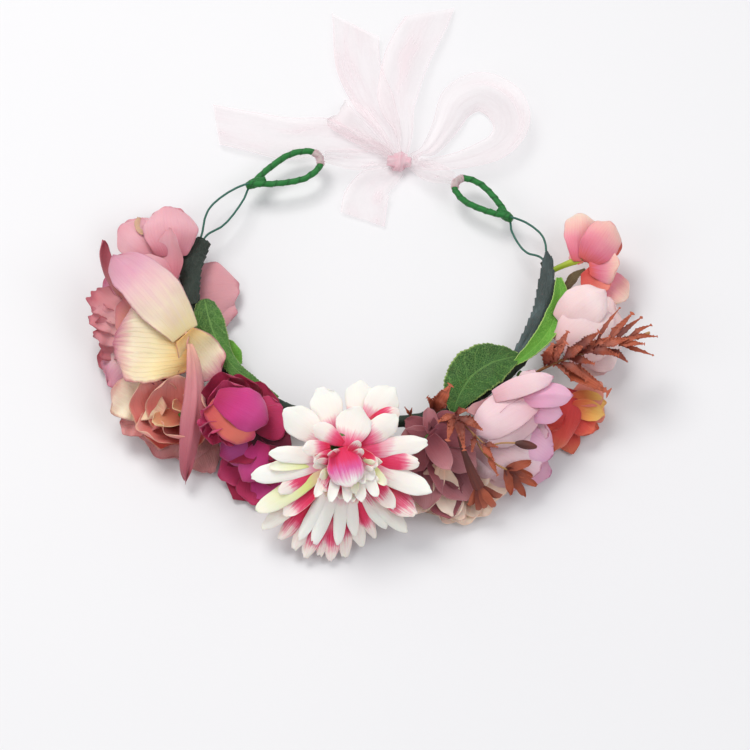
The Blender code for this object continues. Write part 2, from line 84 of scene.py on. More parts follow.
def setStudio():
    scene = bpy.context.scene
    scene.view_settings.view_transform = "Standard"
    target = Vector(studio["target"])
    tilt = math.radians(studio["elevation"])
    back = Vector((0, -math.cos(tilt), math.sin(tilt)))
    lens = bpy.data.cameras.new("camera")
    lens.lens = studio["lens"]
    lens.sensor_width = 36.0
    camera = bpy.data.objects.new("camera", lens)
    camera.location = target + back * studio["distance"]
    camera.rotation_mode = "QUATERNION"
    camera.rotation_quaternion = (-back).to_track_quat("-Z", "Y")
    scene.collection.objects.link(camera)
    scene.camera = camera
    world = bpy.data.worlds.new("studio")
    world.use_nodes = True
    sky = world.node_tree.nodes["Background"]
    sky.inputs["Color"].default_value = shade("FFFFFF")
    sky.inputs["Strength"].default_value = studio["world"]
    scene.world = world
    for index, (place, size, power, colour) in enumerate(studio["lamps"]):
        lamp = bpy.data.lights.new(f"softLamp{index}", "AREA")
        lamp.shape = "DISK"
        lamp.size = size
        lamp.energy = power
        lamp.color = shade(colour)[:3]
        light = bpy.data.objects.new(f"softLamp{index}", lamp)
        light.location = place
        light.rotation_mode = "QUATERNION"
        light.rotation_quaternion = (target - Vector(place)).to_track_quat("-Z", "Y")
        scene.collection.objects.link(light)
    bm = bmesh.new()
    bmesh.ops.create_grid(bm, x_segments=1, y_segments=1, size=studio["floorSize"] / 2)
    bmesh.ops.translate(bm, verts=bm.verts, vec=(0, 0, -0.0002))
    white = Finish("tableWhite", {"Roughness": 0.55, "Specular IOR Level": 0.25})
    cloud = white.node("ShaderNodeTexNoise", {}, {"Vector": white.place(), "Scale": 3.0}, "Fac")
    white.feed("Base Color", white.mix(shade(studio["floorColour"]), shade(studio["floorCloud"]), cloud))
    standPiece(bm, "tableTop", [white.material])


class Wire:
    # one shader value: the usual operators on it add Math nodes
    def __init__(self, tree, socket):
        self.tree = tree
        self.socket = socket

    def maths(self, operation, *values):
        node = self.tree.nodes.new("ShaderNodeMath")
        node.operation = operation
        for plug, value in zip(node.inputs, values):
            join(self.tree, plug, value)
        return Wire(self.tree, node.outputs[0])

    def __add__(self, other):
        return self.maths("ADD", self, other)

    __radd__ = __add__

    def __mul__(self, other):
        return self.maths("MULTIPLY", self, other)

    __rmul__ = __mul__

    def __sub__(self, other):
        return self.maths("SUBTRACT", self, other)

    def __rsub__(self, other):
        return self.maths("SUBTRACT", other, self)

    def __abs__(self):
        return self.maths("ABSOLUTE", self)

    def part(self):
        return self.maths("FRACT", self)

    def least(self, other):
        return self.maths("MINIMUM", self, other)

    def most(self, other):
        return self.maths("MAXIMUM", self, other)

    def step(self, low, high):
        # 0 below low, 1 above high, smooth between
        node = self.tree.nodes.new("ShaderNodeMapRange")
        node.interpolation_type = "SMOOTHSTEP"
        for plug, value in zip(node.inputs, (self, low, high, 0.0, 1.0)):
            join(self.tree, plug, value)
        return Wire(self.tree, node.outputs[0])


def join(tree, plug, value):
    if isinstance(value, Wire):
        tree.links.new(value.socket, plug)
    else:
        plug.default_value = value


class Finish:
    # a material under way, with its Principled shader
    def __init__(self, name, fixed):
        self.material = bpy.data.materials.new(name)
        self.material.use_nodes = True
        self.tree = self.material.node_tree
        self.shader = self.tree.nodes["Principled BSDF"]
        for plug, value in fixed.items():
            self.shader.inputs[plug].default_value = value

    def node(self, kind, settings, values, output=0):
        node = self.tree.nodes.new(kind)
        for key, value in settings.items():
            if key == "stops":
                ramp = node.color_ramp
                while len(ramp.elements) < len(value):
                    ramp.elements.new(0.5)
                for element, (place, colour) in zip(ramp.elements, value):
                    element.position = place
                    element.color = shade(colour)
            else:
                setattr(node, key, value)
        for plug, value in values.items():
            join(self.tree, node.inputs[plug], value)
        return Wire(self.tree, node.outputs[output])

    def place(self):
        return self.node("ShaderNodeTexCoord", {}, {}, "Object")

    def uv(self):
        # how far across and how far along the piece
        spot = self.node("ShaderNodeUVMap", {"uv_map": "petal"}, {})
        across = self.node("ShaderNodeSeparateXYZ", {}, {0: spot})
        return across, Wire(self.tree, across.socket.node.outputs["Y"])

    def tone(self):
        return self.node("ShaderNodeAttribute", {"attribute_name": "tone"}, {}, "Fac")

    def combine(self, x, y, z):
        return self.node("ShaderNodeCombineXYZ", {}, {0: x, 1: y, 2: z})

    def ramp(self, stops, value):
        return self.node("ShaderNodeValToRGB", {"stops": stops}, {0: value})

    def noise(self, vector, scale, detail=3.0, rough=0.5):
        return self.node("ShaderNodeTexNoise", {}, {"Vector": vector, "Scale": scale, "Detail": detail,
                                                    "Roughness": rough}, "Fac")

    def mix(self, a, b, factor):
        made = self.tree.nodes.new("ShaderNodeMix")
        made.data_type = "RGBA"
        join(self.tree, made.inputs[0], factor)
        join(self.tree, made.inputs[6], a)
        join(self.tree, made.inputs[7], b)
        return Wire(self.tree, made.outputs[2])

    def bump(self, height, strength, distance, under=None):
        values = {"Height": height, "Strength": strength, "Distance": distance}
        if under is not None:
            values["Normal"] = under
        return self.node("ShaderNodeBump", {}, values)

    def feed(self, plug, value):
        join(self.tree, self.shader.inputs[plug], value)


finishes = {}


def petalFinish(name, look):
    # dyed cloth: a run of colours from the petal's foot to its lip, streaks along it and a darker rim
    made = Finish(name, {"Sheen Weight": look.get("sheen", 0.25), "Sheen Roughness": 0.5,
                         "Specular IOR Level": 0.25,
                         "Subsurface Weight": look.get("glow", 0.12), "Subsurface Scale": 0.004})
    across, along = made.uv()
    tone = made.tone()
    place = made.place()
    streaks = made.noise(made.combine(across * 26.0 + tone * 40.0, along * 1.6, tone * 9.0), 1.0, 4.0, 0.65)
    blotches = made.noise(place, 95.0, 4.0)
    run = along + (streaks - 0.5) * look.get("streak", 0.22) + (blotches - 0.5) * look.get("blotch", 0.16)
    run = run + (tone - 0.5) * look.get("vary", 0.12)
    colour = made.ramp(look["run"], run)
    edge = abs(across * 2.0 - 1.0).most(along * 1.04 - 0.04)
    fray = made.noise(place, 420.0, 3.0)
    rim = (edge + (fray - 0.5) * 0.10).step(look.get("rimFrom", 0.90), 1.0) * look.get("rimDepth", 0.6)
    colour = made.mix(colour, shade(look["rim"]), rim)
    deep = made.noise(place, 42.0, 2.0).step(0.52, 0.78) * look.get("patch", 0.35)
    colour = made.mix(colour, shade(look["deep"]), deep)
    veins = abs((across * 17.0 + (streaks - 0.5) * 1.5).part() - 0.5).step(0.0, 0.16)
    colour = made.mix(colour, shade(look["deep"]), (1.0 - veins) * look.get("vein", 0.10))
    made.feed("Base Color", colour)
    made.feed("Roughness", blotches * 0.22 + look.get("rough", 0.55))
    weave = made.noise(place, 2600.0, 2.0)
    cloth = made.bump(weave, 0.25, 0.0002)
    made.feed("Normal", made.bump(veins * 0.6 + streaks * 0.8, look.get("relief", 0.35), 0.0004, cloth))
    finishes[name] = made.material
    return made.material


outlines = {  # shares: width at the foot, where it is widest, width at the lip, how far the lip's corners drop
    "rose": (0.36, 0.60, 0.40, 0.28), "wide": (0.50, 0.55, 0.45, 0.30), "bud": (0.42, 0.44, 0.16, 0.22),
    "spoon": (0.30, 0.64, 0.50, 0.36), "strap": (0.45, 0.60, 0.48, 0.40),
    "leaf": (0.16, 0.40, 0.05, 0.10), "fan": (0.26, 0.80, 0.62, 0.28), "dome": (0.55, 0.60, 0.45, 0.32),
    "shell": (0.60, 0.46, 0.10, 0.14), "square": (0.30, 0.45, 0.26, 0.10),
}


def spread(outline, s):
    foot, peak, lip = outlines[outline][:3]
    if s < peak:
        return foot + (1 - foot) * math.sin(math.pi / 2 * s / peak)
    return lip + (1 - lip) * math.sqrt(max(0.0, 1 - ((s - peak) / (1 - peak)) ** 2.2))


def beginShape():
    bm = bmesh.new()
    bm.loops.layers.uv.new("petal")
    bm.verts.layers.float.new("tone")
    return bm


def layGrid(bm, across, along, lay, finish=0, tone=0.5, weld=False):
    # a grid laid over a surface: lay gives the place of each of its points from 0 to 1 across and along
    uvs = bm.loops.layers.uv["petal"]
    tones = bm.verts.layers.float["tone"]
    made = bmesh.ops.create_grid(bm, x_segments=across, y_segments=along, size=0.5)["verts"]
    for vert in made:
        vert[tones] = tone
        for corner in vert.link_loops:
            corner[uvs].uv = (vert.co.x + 0.5, vert.co.y + 0.5)
            corner.face.material_index = finish
            corner.face.smooth = True
    for vert in made:
        vert.co = lay(vert.co.x + 0.5, vert.co.y + 0.5)
    if weld:
        bmesh.ops.remove_doubles(bm, verts=made, dist=1e-6)
    return made


def growPetal(bm, petal):
    # from its foot to its lip, seen from its face side; cup lifts its sides to the face, belly hollows its length
    foot, lip = Vector(petal["foot"]), Vector(petal["lip"])
    length = (lip - foot).length
    along = (lip - foot) / length
    face = Vector(petal["face"])
    face = (face - along * face.dot(along)).normalized()
    side = along.cross(face)
    wide = petal["wide"] * mm / 2
    outline = petal.get("outline", "rose")
    cup = petal.get("cup", 0.5) + 1e-4
    belly, curl = petal.get("belly", 0.10), petal.get("curl", 0.0)
    twist, ruffle = petal.get("twist", 0.0), petal.get("ruffle", 0.03)
    waves = petal.get("waves", 2.0)
    crease, crumple = petal.get("crease", 0.0), petal.get("crumple", 0.06)
    seed, frill = petal.get("seed", 0.0), petal.get("frill", 0.10)
    drop = outlines[outline][3]

    def lay(u, v):
        t = 2 * u - 1
        half = wide * spread(outline, v)
        turn = cup * (0.35 + 0.65 * v)
        sideways = half * math.sin(turn * t) / turn
        lift = half * (1 - math.cos(turn * t)) / turn
        fray = frill * noise.noise(Vector((t * 6.0 + seed * 3.1, v * 9.0, seed * 5.7)))
        sideways *= 1 + fray * abs(t) ** 5
        forth = length * (v + 0.6 * fray * v ** 6) - drop * wide * t * t * v ** 3
        lift -= belly * length * 4 * v * (1 - v)
        tip = max(0.0, v - 0.70) / 0.30
        lift -= curl * length * tip ** 2
        forth -= abs(curl) * length * 0.35 * tip ** 3
        lift += ruffle * wide * 2 * t * t * math.sin(oneTurn * (waves * v + seed) + 1.3 * t)
        lift += ruffle * wide * 1.6 * v ** 4 * math.sin(5.0 * t + 9.1 * seed)
        lift -= crease * half * math.exp(-(t / 0.16) ** 2) * math.sin(math.pi * min(1.0, v * 1.1))
        lift += crumple * wide * noise.noise(Vector((t * 1.7 + seed * 7.3, v * 2.6, seed * 13.7)))
        swing = Matrix.Rotation(twist * v, 3, along)
        return foot + along * forth + swing @ (side * sideways + face * lift)

    layGrid(bm, petal.get("cols", 8), petal.get("rows", 11), lay, petal.get("finish", 0),
            petal.get("tone", 0.5 + 0.5 * math.sin(31.7 * seed)))


def growTube(bm, path, radius, finish=0, sides=10, tone=0.5):
    # a closed tube along a path; radius is a length or gives one for how far round and along it is
    frames = []
    side = None
    for i, here in enumerate(path):
        along = (path[min(i + 1, len(path) - 1)] - path[max(i - 1, 0)]).normalized()
        if side is None:
            side = along.cross(up if abs(along.z) < 0.9 else Vector((1, 0, 0))).normalized()
        side = (side - along * side.dot(along)).normalized()
        frames.append((here, side, along.cross(side)))
    last = len(path) - 1

    def lay(u, v):
        here, right, over = frames[round(v * last)]
        turn = 2 * math.pi * u
        reach = radius(u, v) if callable(radius) else radius
        return here + reach * (math.cos(turn) * right + math.sin(turn) * over)

    made = layGrid(bm, sides, last, lay, finish, tone, weld=True)
    # a dict keeps the edges in their order, so that each run closes the ends alike
    edges = dict.fromkeys(edge for vert in made if vert.is_valid for edge in vert.link_edges)
    rim = [edge for edge in edges if edge.is_boundary]
    if rim:
        for face in bmesh.ops.edgeloop_fill(bm, edges=rim, mat_nr=finish)["faces"]:
            face.smooth = True


def smoothPath(points, step):
    # points about a step apart on a smooth curve through the given ones
    points = [Vector(point) for point in points]
    ends = [2 * points[0] - points[1]] + points + [2 * points[-1] - points[-2]]
    path = []
    for a, b, c, d in zip(ends, ends[1:], ends[2:], ends[3:]):
        count = max(1, round((c - b).length / step))
        for k in range(count):
            t = k / count
            path.append(0.5 * (2 * b + (c - a) * t + (2 * a - 5 * b + 4 * c - d) * t * t
                               + (3 * b - 3 * c + d - a) * t ** 3))
    return path + [points[-1]]


def standPiece(bm, name, materials):
    mesh = bpy.data.meshes.new(name)
    bm.to_mesh(mesh)
    bm.free()
    piece = bpy.data.objects.new(name, mesh)
    bpy.context.scene.collection.objects.link(piece)
    for material in materials:
        mesh.materials.append(material)
    return piece


def endShape(bm, name, body, materials, wall, smooth, slot, stands=(), closed=False):
    # the finished piece, with its wall and smoothing as modifiers; it rides on its body
    if closed:
        bmesh.ops.recalc_face_normals(bm, faces=bm.faces)
    piece = standPiece(bm, name, [finishes[material] for material in materials])
    if wall:
        thick = piece.modifiers.new("wall", "SOLIDIFY")
        thick.thickness = wall
        thick.offset = 0.0
        thick.use_even_offset = False
    if smooth:
        soft = piece.modifiers.new("soft", "SUBSURF")
        soft.levels = smooth
        soft.render_levels = smooth
    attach(piece, body)
    if stands:
        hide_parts(*stands)


clothWall = {"petal": 0.0004, "stiff": 0.0005}  # thickness of the stiffened cloth, in metres


class Room:
    # the space that CAD nodes hold: at() takes shares of it, from -1 to 1 each way
    def __init__(self, *nodes):
        corners = [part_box(node) for node in nodes]
        low = Vector(min(box[0][axis] for box in corners) for axis in range(3))
        high = Vector(max(box[1][axis] for box in corners) for axis in range(3))
        self.middle, self.half = (low + high) / 2, (high - low) / 2

    def at(self, x, y, z):
        return self.middle + Vector((self.half.x * x, self.half.y * y, self.half.z * z))


def growNeck(bm, calyx, feet, finish):
    # the green base between a calyx and its petals' feet
    gather = sum(feet, Vector()) / len(feet)
    foot = calyx.at(0, 0, 0.3)
    path = smoothPath([foot, foot.lerp(gather, 0.4) + up * 0.5 * mm, gather], 1.2 * mm)
    growTube(bm, path, lambda u, v: mm * (2.4 + 2.2 * v + 0.25 * math.cos(12 * math.pi * u)), finish, 20)


def makeBloom(name, plan):
    # a flower from its plan: each petal is (foot, lip, face, width in mm, what differs from a plain petal)
    nodes = plan["nodes"]
    room = Room(*plan.get("room", nodes))
    bm = beginShape()
    for index, (foot, lip, face, wide, extra) in enumerate(plan["petals"]):
        growPetal(bm, {"foot": room.at(*foot), "lip": room.at(*lip), "face": face, "wide": wide,
                       "seed": 0.37 * index + plan.get("seed", 0.0), **extra})
    calyx = nodes[0].replace("_petals", "_calyx")
    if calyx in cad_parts:
        growNeck(bm, Room(calyx), [room.at(*petal[0]) for petal in plan["petals"]], len(plan["finishes"]))
    endShape(bm, name, plan.get("body", "crown"), (*plan["finishes"], "greenCalyx"), clothWall["petal"], 1,
             plan["slot"], nodes)


petalLooks = {  # dyed cloth: colours from the petal's foot to its lip, the rim and the deeper patches
    "paleRose": {"run": [(0.0, "C97383"), (0.30, "DE97A3"), (0.65, "E8AEB8"), (1.0, "E6A5B0")],
                 "rim": "C46A7E", "deep": "D68C9A", "rimFrom": 0.93, "rimDepth": 0.55, "patch": 0.25},
    "beigeFold": {"run": [(0.0, "C9A183"), (1.0, "D9B79A")], "rim": "B98A78", "deep": "BE9580"},
    "innerPetal": {"run": [(0.0, "C98590"), (0.5, "D9979F"), (1.0, "DCA0A8")],
                   "rim": "BE7381", "deep": "CC8893", "patch": 0.3},
    "mauveCream": {"run": [(0.0, "F4DCA8"), (0.20, "F5DFC4"), (0.42, "EEC8C4"), (0.68, "DFA2B6"),
                           (1.0, "CC809C")],
                   "rim": "B05572", "deep": "DDA2A8", "rimFrom": 0.91, "rimDepth": 0.75, "streak": 0.30},
    "creamPetal": {"run": [(0.0, "EBAF66"), (0.16, "F2CA8A"), (0.42, "F6DFB2"), (0.72, "F4DDC2"),
                           (0.86, "E3B0AA"), (1.0, "C4748A")],
                   "rim": "B9566F", "deep": "EFD08F", "rimFrom": 0.88, "rimDepth": 0.80, "streak": 0.30,
                   "relief": 0.6},
    "orangeFold": {"run": [(0.0, "D9A05A"), (0.4, "CE8A4E"), (0.75, "D08A72"), (1.0, "CC7F86")],
                   "rim": "B5605F", "deep": "B9763F", "streak": 0.3},
    "dustyFrill": {"run": [(0.0, "E0A8A4"), (0.5, "DB969B"), (1.0, "CB7681")],
                   "rim": "A24A5A", "deep": "C4747C", "rimFrom": 0.84, "rimDepth": 0.7, "patch": 0.4},
    "rolledPink": {"run": [(0.0, "E7B39A"), (0.35, "D3888E"), (0.7, "BF6B78"), (1.0, "A9505F")],
                   "rim": "A54A5E", "deep": "C67A80", "rimFrom": 0.86},
    "salmonCup": {"run": [(0.0, "BE4F42"), (0.4, "D0665E"), (0.8, "DA7E76"), (1.0, "E09892")],
                  "rim": "E3B79A", "deep": "B5564C", "rimFrom": 0.90, "rimDepth": 0.65},
    "salmonEdge": {"run": [(0.0, "B5503F"), (0.5, "CC7258"), (0.85, "E0A677"), (1.0, "EACB98")],
                   "rim": "EFD3A4", "deep": "C0644C", "rimFrom": 0.88, "rimDepth": 0.7},
    "dustySkirt": {"run": [(0.0, "C4625E"), (0.4, "D4827F"), (0.8, "DC9896"), (1.0, "D88F92")],
                   "rim": "B4656B", "deep": "C27370", "rimFrom": 0.92, "patch": 0.5, "relief": 0.7,
                   "sheen": 0.5},
    "creamBlush": {"run": [(0.0, "E0A58C"), (0.20, "F1D6B2"), (0.65, "F5E4CC"), (1.0, "E6BBAE")],
                   "rim": "C98480", "deep": "F0D8A0", "rimFrom": 0.86, "rimDepth": 0.7, "streak": 0.4},
    "crimsonBack": {"run": [(0.0, "4A0A22"), (0.4, "7A1236"), (0.8, "99183F"), (1.0, "A51F4A")],
                    "rim": "7E1236", "deep": "6B0E2E"},
    "crimsonPink": {"run": [(0.0, "7D1438"), (0.4, "B02350"), (0.8, "C53566"), (1.0, "CC4A78")],
                    "rim": "A01E4C", "deep": "A3204C"},
    "magentaOuter": {"run": [(0.0, "B01F58"), (0.35, "C9347E"), (0.7, "D2488F"), (1.0, "C43A7A")],
                     "rim": "A81E5C", "deep": "B92B70", "rimFrom": 0.93},
    "coralHeart": {"run": [(0.0, "C44A4E"), (0.4, "D9695C"), (0.8, "DC7263"), (1.0, "CE4C66")],
                   "rim": "C23A66", "deep": "C9566A", "rimFrom": 0.80, "rimDepth": 0.8},
    "purpleBud": {"run": [(0.0, "9C2C66"), (0.5, "AE4484"), (0.85, "A9417F"), (1.0, "A22C66")],
                  "rim": "9A2358", "deep": "983473"},
    "maroonDeep": {"run": [(0.0, "2E0716"), (0.6, "4C0A26"), (1.0, "6B1233")],
                   "rim": "5E1030", "deep": "3A081C"},
    "mumPetal": {"run": [(0.0, "CC0F3A"), (0.34, "DE1C4A"), (0.54, "E63A68"), (0.64, "F0809C"),
                         (0.72, "FBE4DE"), (1.0, "FEFAF0")],
                 "rim": "FBF4E8", "deep": "F8E6E2", "rimDepth": 0.3, "streak": 0.50, "blotch": 0.40, "vary": 0.44,
                 "vein": 0.06, "glow": 0.16},
    "mumWhite": {"run": [(0.0, "D91C4C"), (0.20, "E95580"), (0.33, "F3A9B8"), (0.46, "FCEDE6"),
                         (1.0, "FFFCF4")],
                 "rim": "FBF6EC", "deep": "F7EDE6", "rimDepth": 0.3, "streak": 0.30, "vary": 0.24,
                 "vein": 0.05, "glow": 0.16},
    "mumGreen": {"run": [(0.0, "E0506E"), (0.2, "EFC1A6"), (0.38, "E9EC8E"), (0.60, "F2F0BC"),
                         (1.0, "FBF6E6")],
                 "rim": "F8F2DC", "deep": "EDEBA8", "streak": 0.30, "glow": 0.16},
    "mumCup": {"run": [(0.0, "DE1C4C"), (0.30, "E3386A"), (0.52, "DE5FA0"), (0.70, "EDA9C8"),
                       (0.86, "FBF3EE"), (1.0, "FDF9F2")],
               "rim": "F6C9D2", "deep": "E04585", "streak": 0.5, "glow": 0.16},
    "mauvePetal": {"run": [(0.0, "74323E"), (0.35, "965058"), (0.75, "B0737A"), (1.0, "C68F92")],
                   "rim": "B98087", "deep": "7E3C46", "rimFrom": 0.92, "vary": 0.3, "vein": 0.25},
    "mauveDark": {"run": [(0.0, "602630"), (0.5, "824049"), (1.0, "9C5A62")],
                  "rim": "9A5A62", "deep": "5E242E", "vein": 0.25},
    "peachPetal": {"run": [(0.0, "EDB79C"), (0.35, "F5D3BE"), (1.0, "F9E2D3")],
                   "rim": "EFC6B2", "deep": "F4D0BA"},
    "magnoliaPink": {"run": [(0.0, "E0A6B0"), (0.3, "EFC2CA"), (0.7, "F6D2D7"), (1.0, "F2C6D4")],
                     "rim": "BC6A88", "deep": "E6B4BF", "rimFrom": 0.95, "rimDepth": 0.9, "rough": 0.5},
    "magnoliaLilac": {"run": [(0.0, "E08EAA"), (0.4, "EBA8C6"), (0.8, "F1B9D2"), (1.0, "EBACCC")],
                      "rim": "B05A86", "deep": "DD93B6", "rimFrom": 0.95, "rimDepth": 0.9, "rough": 0.5},
    "coralPetal": {"run": [(0.0, "AE2830"), (0.4, "CA3A38"), (0.75, "DA5246"), (1.0, "E67A5C")],
                   "rim": "C23A38", "deep": "B5302F", "streak": 0.3},
    "coralYellow": {"run": [(0.0, "C9402F"), (0.35, "E07A45"), (0.65, "EFB05C"), (1.0, "F3CE7C")],
                    "rim": "E99A60", "deep": "E4944C", "streak": 0.3},
    "salmonLip": {"run": [(0.0, "D9695A"), (0.5, "E68A78"), (1.0, "EFA894")],
                  "rim": "E08474", "deep": "DE7C6C"},
    "blushPetal": {"run": [(0.0, "E8B8BA"), (0.35, "F1CDCE"), (0.8, "F7DCDC"), (1.0, "F4D4D6")],
                   "rim": "DDA7B0", "deep": "E6BCC0", "rimFrom": 0.95},
    "blossomPetal": {"run": [(0.0, "E0605C"), (0.22, "E77890"), (0.48, "EE98A6"), (0.72, "F4BCB4"),
                             (1.0, "F7D8C6")],
                     "rim": "E27C8C", "deep": "E87E90", "rimFrom": 0.94, "streak": 0.35, "patch": 0.45},
    "blossomCoral": {"run": [(0.0, "DE5650"), (0.5, "E87468"), (1.0, "EE9484")],
                     "rim": "E2686C", "deep": "E0605C"},
}


leafLooks = {
    "darkLeaf": {"base": "265C18", "deep": "153E0E", "vein": "6F9C4C", "edge": "9DBB66", "cells": 46.0},
    "midLeaf": {"base": "38721F", "deep": "1F4E10", "vein": "86B55E", "edge": "BCCB7C", "cells": 46.0},
    "brightLeaf": {"base": "62A92E", "deep": "468A20", "vein": "93C95A", "edge": "B5D676", "cells": 40.0},
    "leftEndLeaf": {"base": "2F3B33", "deep": "1A231D", "vein": "333F37", "edge": "3B4A40", "cells": 12.0},
    # the same dark cloth as the left end leaf, its colours made greyer to paint the sheen on its folds
    "rightEndLeaf": {"base": "56686A", "deep": "333F3E", "vein": "3F4C4B", "edge": "6B7C7A", "cells": 12.0},
    "brownLeaf": {"base": "5A4A30", "deep": "38301E", "vein": "7A6A48", "edge": "6E5E40", "cells": 24.0},
}


def leafFinish(name, look):
    # printed cloth: side veins slanting from the midrib, a fine net between them and a paler cut edge
    made = Finish(name, {"Sheen Weight": 0.12, "Specular IOR Level": 0.35, "Subsurface Weight": 0.05,
                         "Subsurface Scale": 0.003})
    across, along = made.uv()
    place = made.place()
    away = abs(across - 0.5) * 2.0
    wander = made.noise(place, 130.0, 3.0)
    slant = (along * 9.0 - away * 1.7 + (wander - 0.5) * 0.5).part()
    sideVein = 1.0 - abs(slant - 0.5).step(0.02, 0.10)
    midrib = 1.0 - away.step(0.02, 0.07)
    net = made.node("ShaderNodeTexVoronoi", {"feature": "DISTANCE_TO_EDGE"},
                    {"Vector": made.combine(across * look["cells"] * 0.6, along * look["cells"] * 1.5, 0.0),
                     "Scale": 1.0})
    mesh = 1.0 - net.step(0.02, 0.14)
    patches = made.noise(place, 60.0, 4.0)
    colour = made.mix(shade(look["deep"]), shade(look["base"]), patches.step(0.30, 0.66))
    colour = made.mix(colour, shade(look["vein"]), mesh * 0.55)
    colour = made.mix(colour, shade(look["vein"]), (sideVein * 0.22).most(midrib * 0.42))
    colour = made.mix(colour, shade(look["edge"]), (away + (wander - 0.5) * 0.08).step(0.90, 0.99) * 0.8)
    made.feed("Base Color", colour)
    made.feed("Roughness", patches * 0.2 + 0.50)
    relief = 1.0 - (mesh * 0.4).most(sideVein * 0.8).most(midrib)
    weave = made.bump(made.noise(place, 2400.0, 2.0), 0.20, 0.0002)
    made.feed("Normal", made.bump(relief, 0.55, 0.0005, weave))
    finishes[name] = made.material


def plasticFinish(name, low, high, rough=0.45):
    made = Finish(name, {"Specular IOR Level": 0.5, "Coat Weight": 0.08, "Coat Roughness": 0.35,
                         "Subsurface Weight": 0.05, "Subsurface Scale": 0.002})
    across, along = made.uv()
    place = made.place()
    cloudy = made.noise(place, 120.0, 4.0)
    run = along + (cloudy - 0.5) * 0.7 + (made.tone() - 0.5) * 0.6
    ribs = abs((across * 7.0).part() - 0.5)
    colour = made.mix(shade(low), shade(high), run.step(0.0, 0.9))
    colour = made.mix(colour, shade(low), ribs.step(0.25, 0.5) * 0.35)
    made.feed("Base Color", colour)
    made.feed("Roughness", cloudy * 0.2 + rough)
    made.feed("Normal", made.bump(ribs + cloudy * 0.5, 0.35, 0.0004))
    finishes[name] = made.material


def tapeFinish(name, low, high, turns, rough=0.6):
    # crepe tape wound in a slanting spiral: the colour is darker just past each turn's raised edge, painted shade
    # under that edge, and also varies at random along the tape
    made = Finish(name, {"Specular IOR Level": 0.35, "Sheen Weight": 0.1})
    across, along = made.uv()
    place = made.place()
    drift = made.noise(place, 160.0, 3.0)
    lap = (along * turns + across + (drift - 0.5) * 0.35).part()
    crepe = made.noise(made.combine(across * 30.0, along * turns * 14.0, 0.0), 1.0, 3.0)
    # painted shade: the low colour at the start of each turn sits just under the raised edge of the turn before
    colour = made.mix(shade(low), shade(high), (lap.step(0.0, 0.35) * 0.6 + drift * 0.5).least(1.0))
    colour = made.mix(colour, shade(low), crepe.step(0.45, 0.7) * 0.35)
    made.feed("Base Color", colour)
    made.feed("Roughness", crepe * 0.2 + rough - 0.1)
    made.feed("Normal", made.bump(lap * 0.7 + crepe * 0.5, 0.7, 0.0005))
    finishes[name] = made.material


def wireFinish():
    made = Finish("greenWire", {"Specular IOR Level": 0.4})
    across, along = made.uv()
    drift = made.noise(made.place(), 300.0, 3.0)
    seam = (along * 260.0 + across).part().step(0.80, 0.95)
    made.feed("Base Color", made.mix(made.mix(shade("24564A"), shade("3B7464"), drift), shade("183E34"),
                                     seam * 0.5))
    made.feed("Roughness", drift * 0.25 + 0.38)
    made.feed("Normal", made.bump(seam, 0.3, 0.0002))
    finishes["greenWire"] = made.material


def organzaFinish(name, body, tint, alpha, wrinkles):
    # sheer cloth: fine threads, a denser woven edge, and clouds where folds lie closer
    made = Finish(name, {"Specular IOR Level": 0.5, "Sheen Weight": 0.5, "Sheen Roughness": 0.3})
    across, along = made.uv()
    threads = made.noise(made.combine(across * 240.0, along * 900.0, 0.0), 1.0, 1.0)
    folds = made.noise(made.combine(across * wrinkles, along * 2.2, made.tone() * 8.0), 1.0, 3.0, 0.6)
    edge = (abs(across - 0.5) * 2.0).step(0.92, 0.99)
    colour = made.mix(shade(body), shade(tint), folds.step(0.35, 0.75))
    colour = made.mix(colour, shade(tint), edge * 0.6)
    made.feed("Base Color", colour)
    made.feed("Roughness", folds * 0.25 + 0.35)
    thick = threads * 0.06 + folds.step(0.35, 0.85) * 0.16 + edge * 0.10
    made.feed("Alpha", (thick + alpha).least(0.97))
    made.feed("Normal", made.bump(folds + threads * 0.1, 0.5, 0.0006))
    finishes[name] = made.material


def makeFinishes():
    for name, look in petalLooks.items():
        petalFinish(name, look)
    for name, look in leafLooks.items():
        leafFinish(name, look)
    plasticFinish("terracotta", "6A2417", "B95A3A")
    plasticFinish("darkBud", "4A1E18", "6E2F24")
    plasticFinish("sprigStalk", "8A5A34", "B98A54")
    plasticFinish("limeStem", "8FA51E", "B9C93E")
    tapeFinish("darkTape", "0E1A12", "27382B", 46.0)
    tapeFinish("greenTape", "0A4A1C", "1F7C33", 15.0, 0.5)
    wireFinish()
    organzaFinish("organza", "FBEEF1", "F7DAE1", 0.17, 3.0)
    organzaFinish("organzaKnot", "FADDE4", "F3B6C5", 0.50, 7.0)


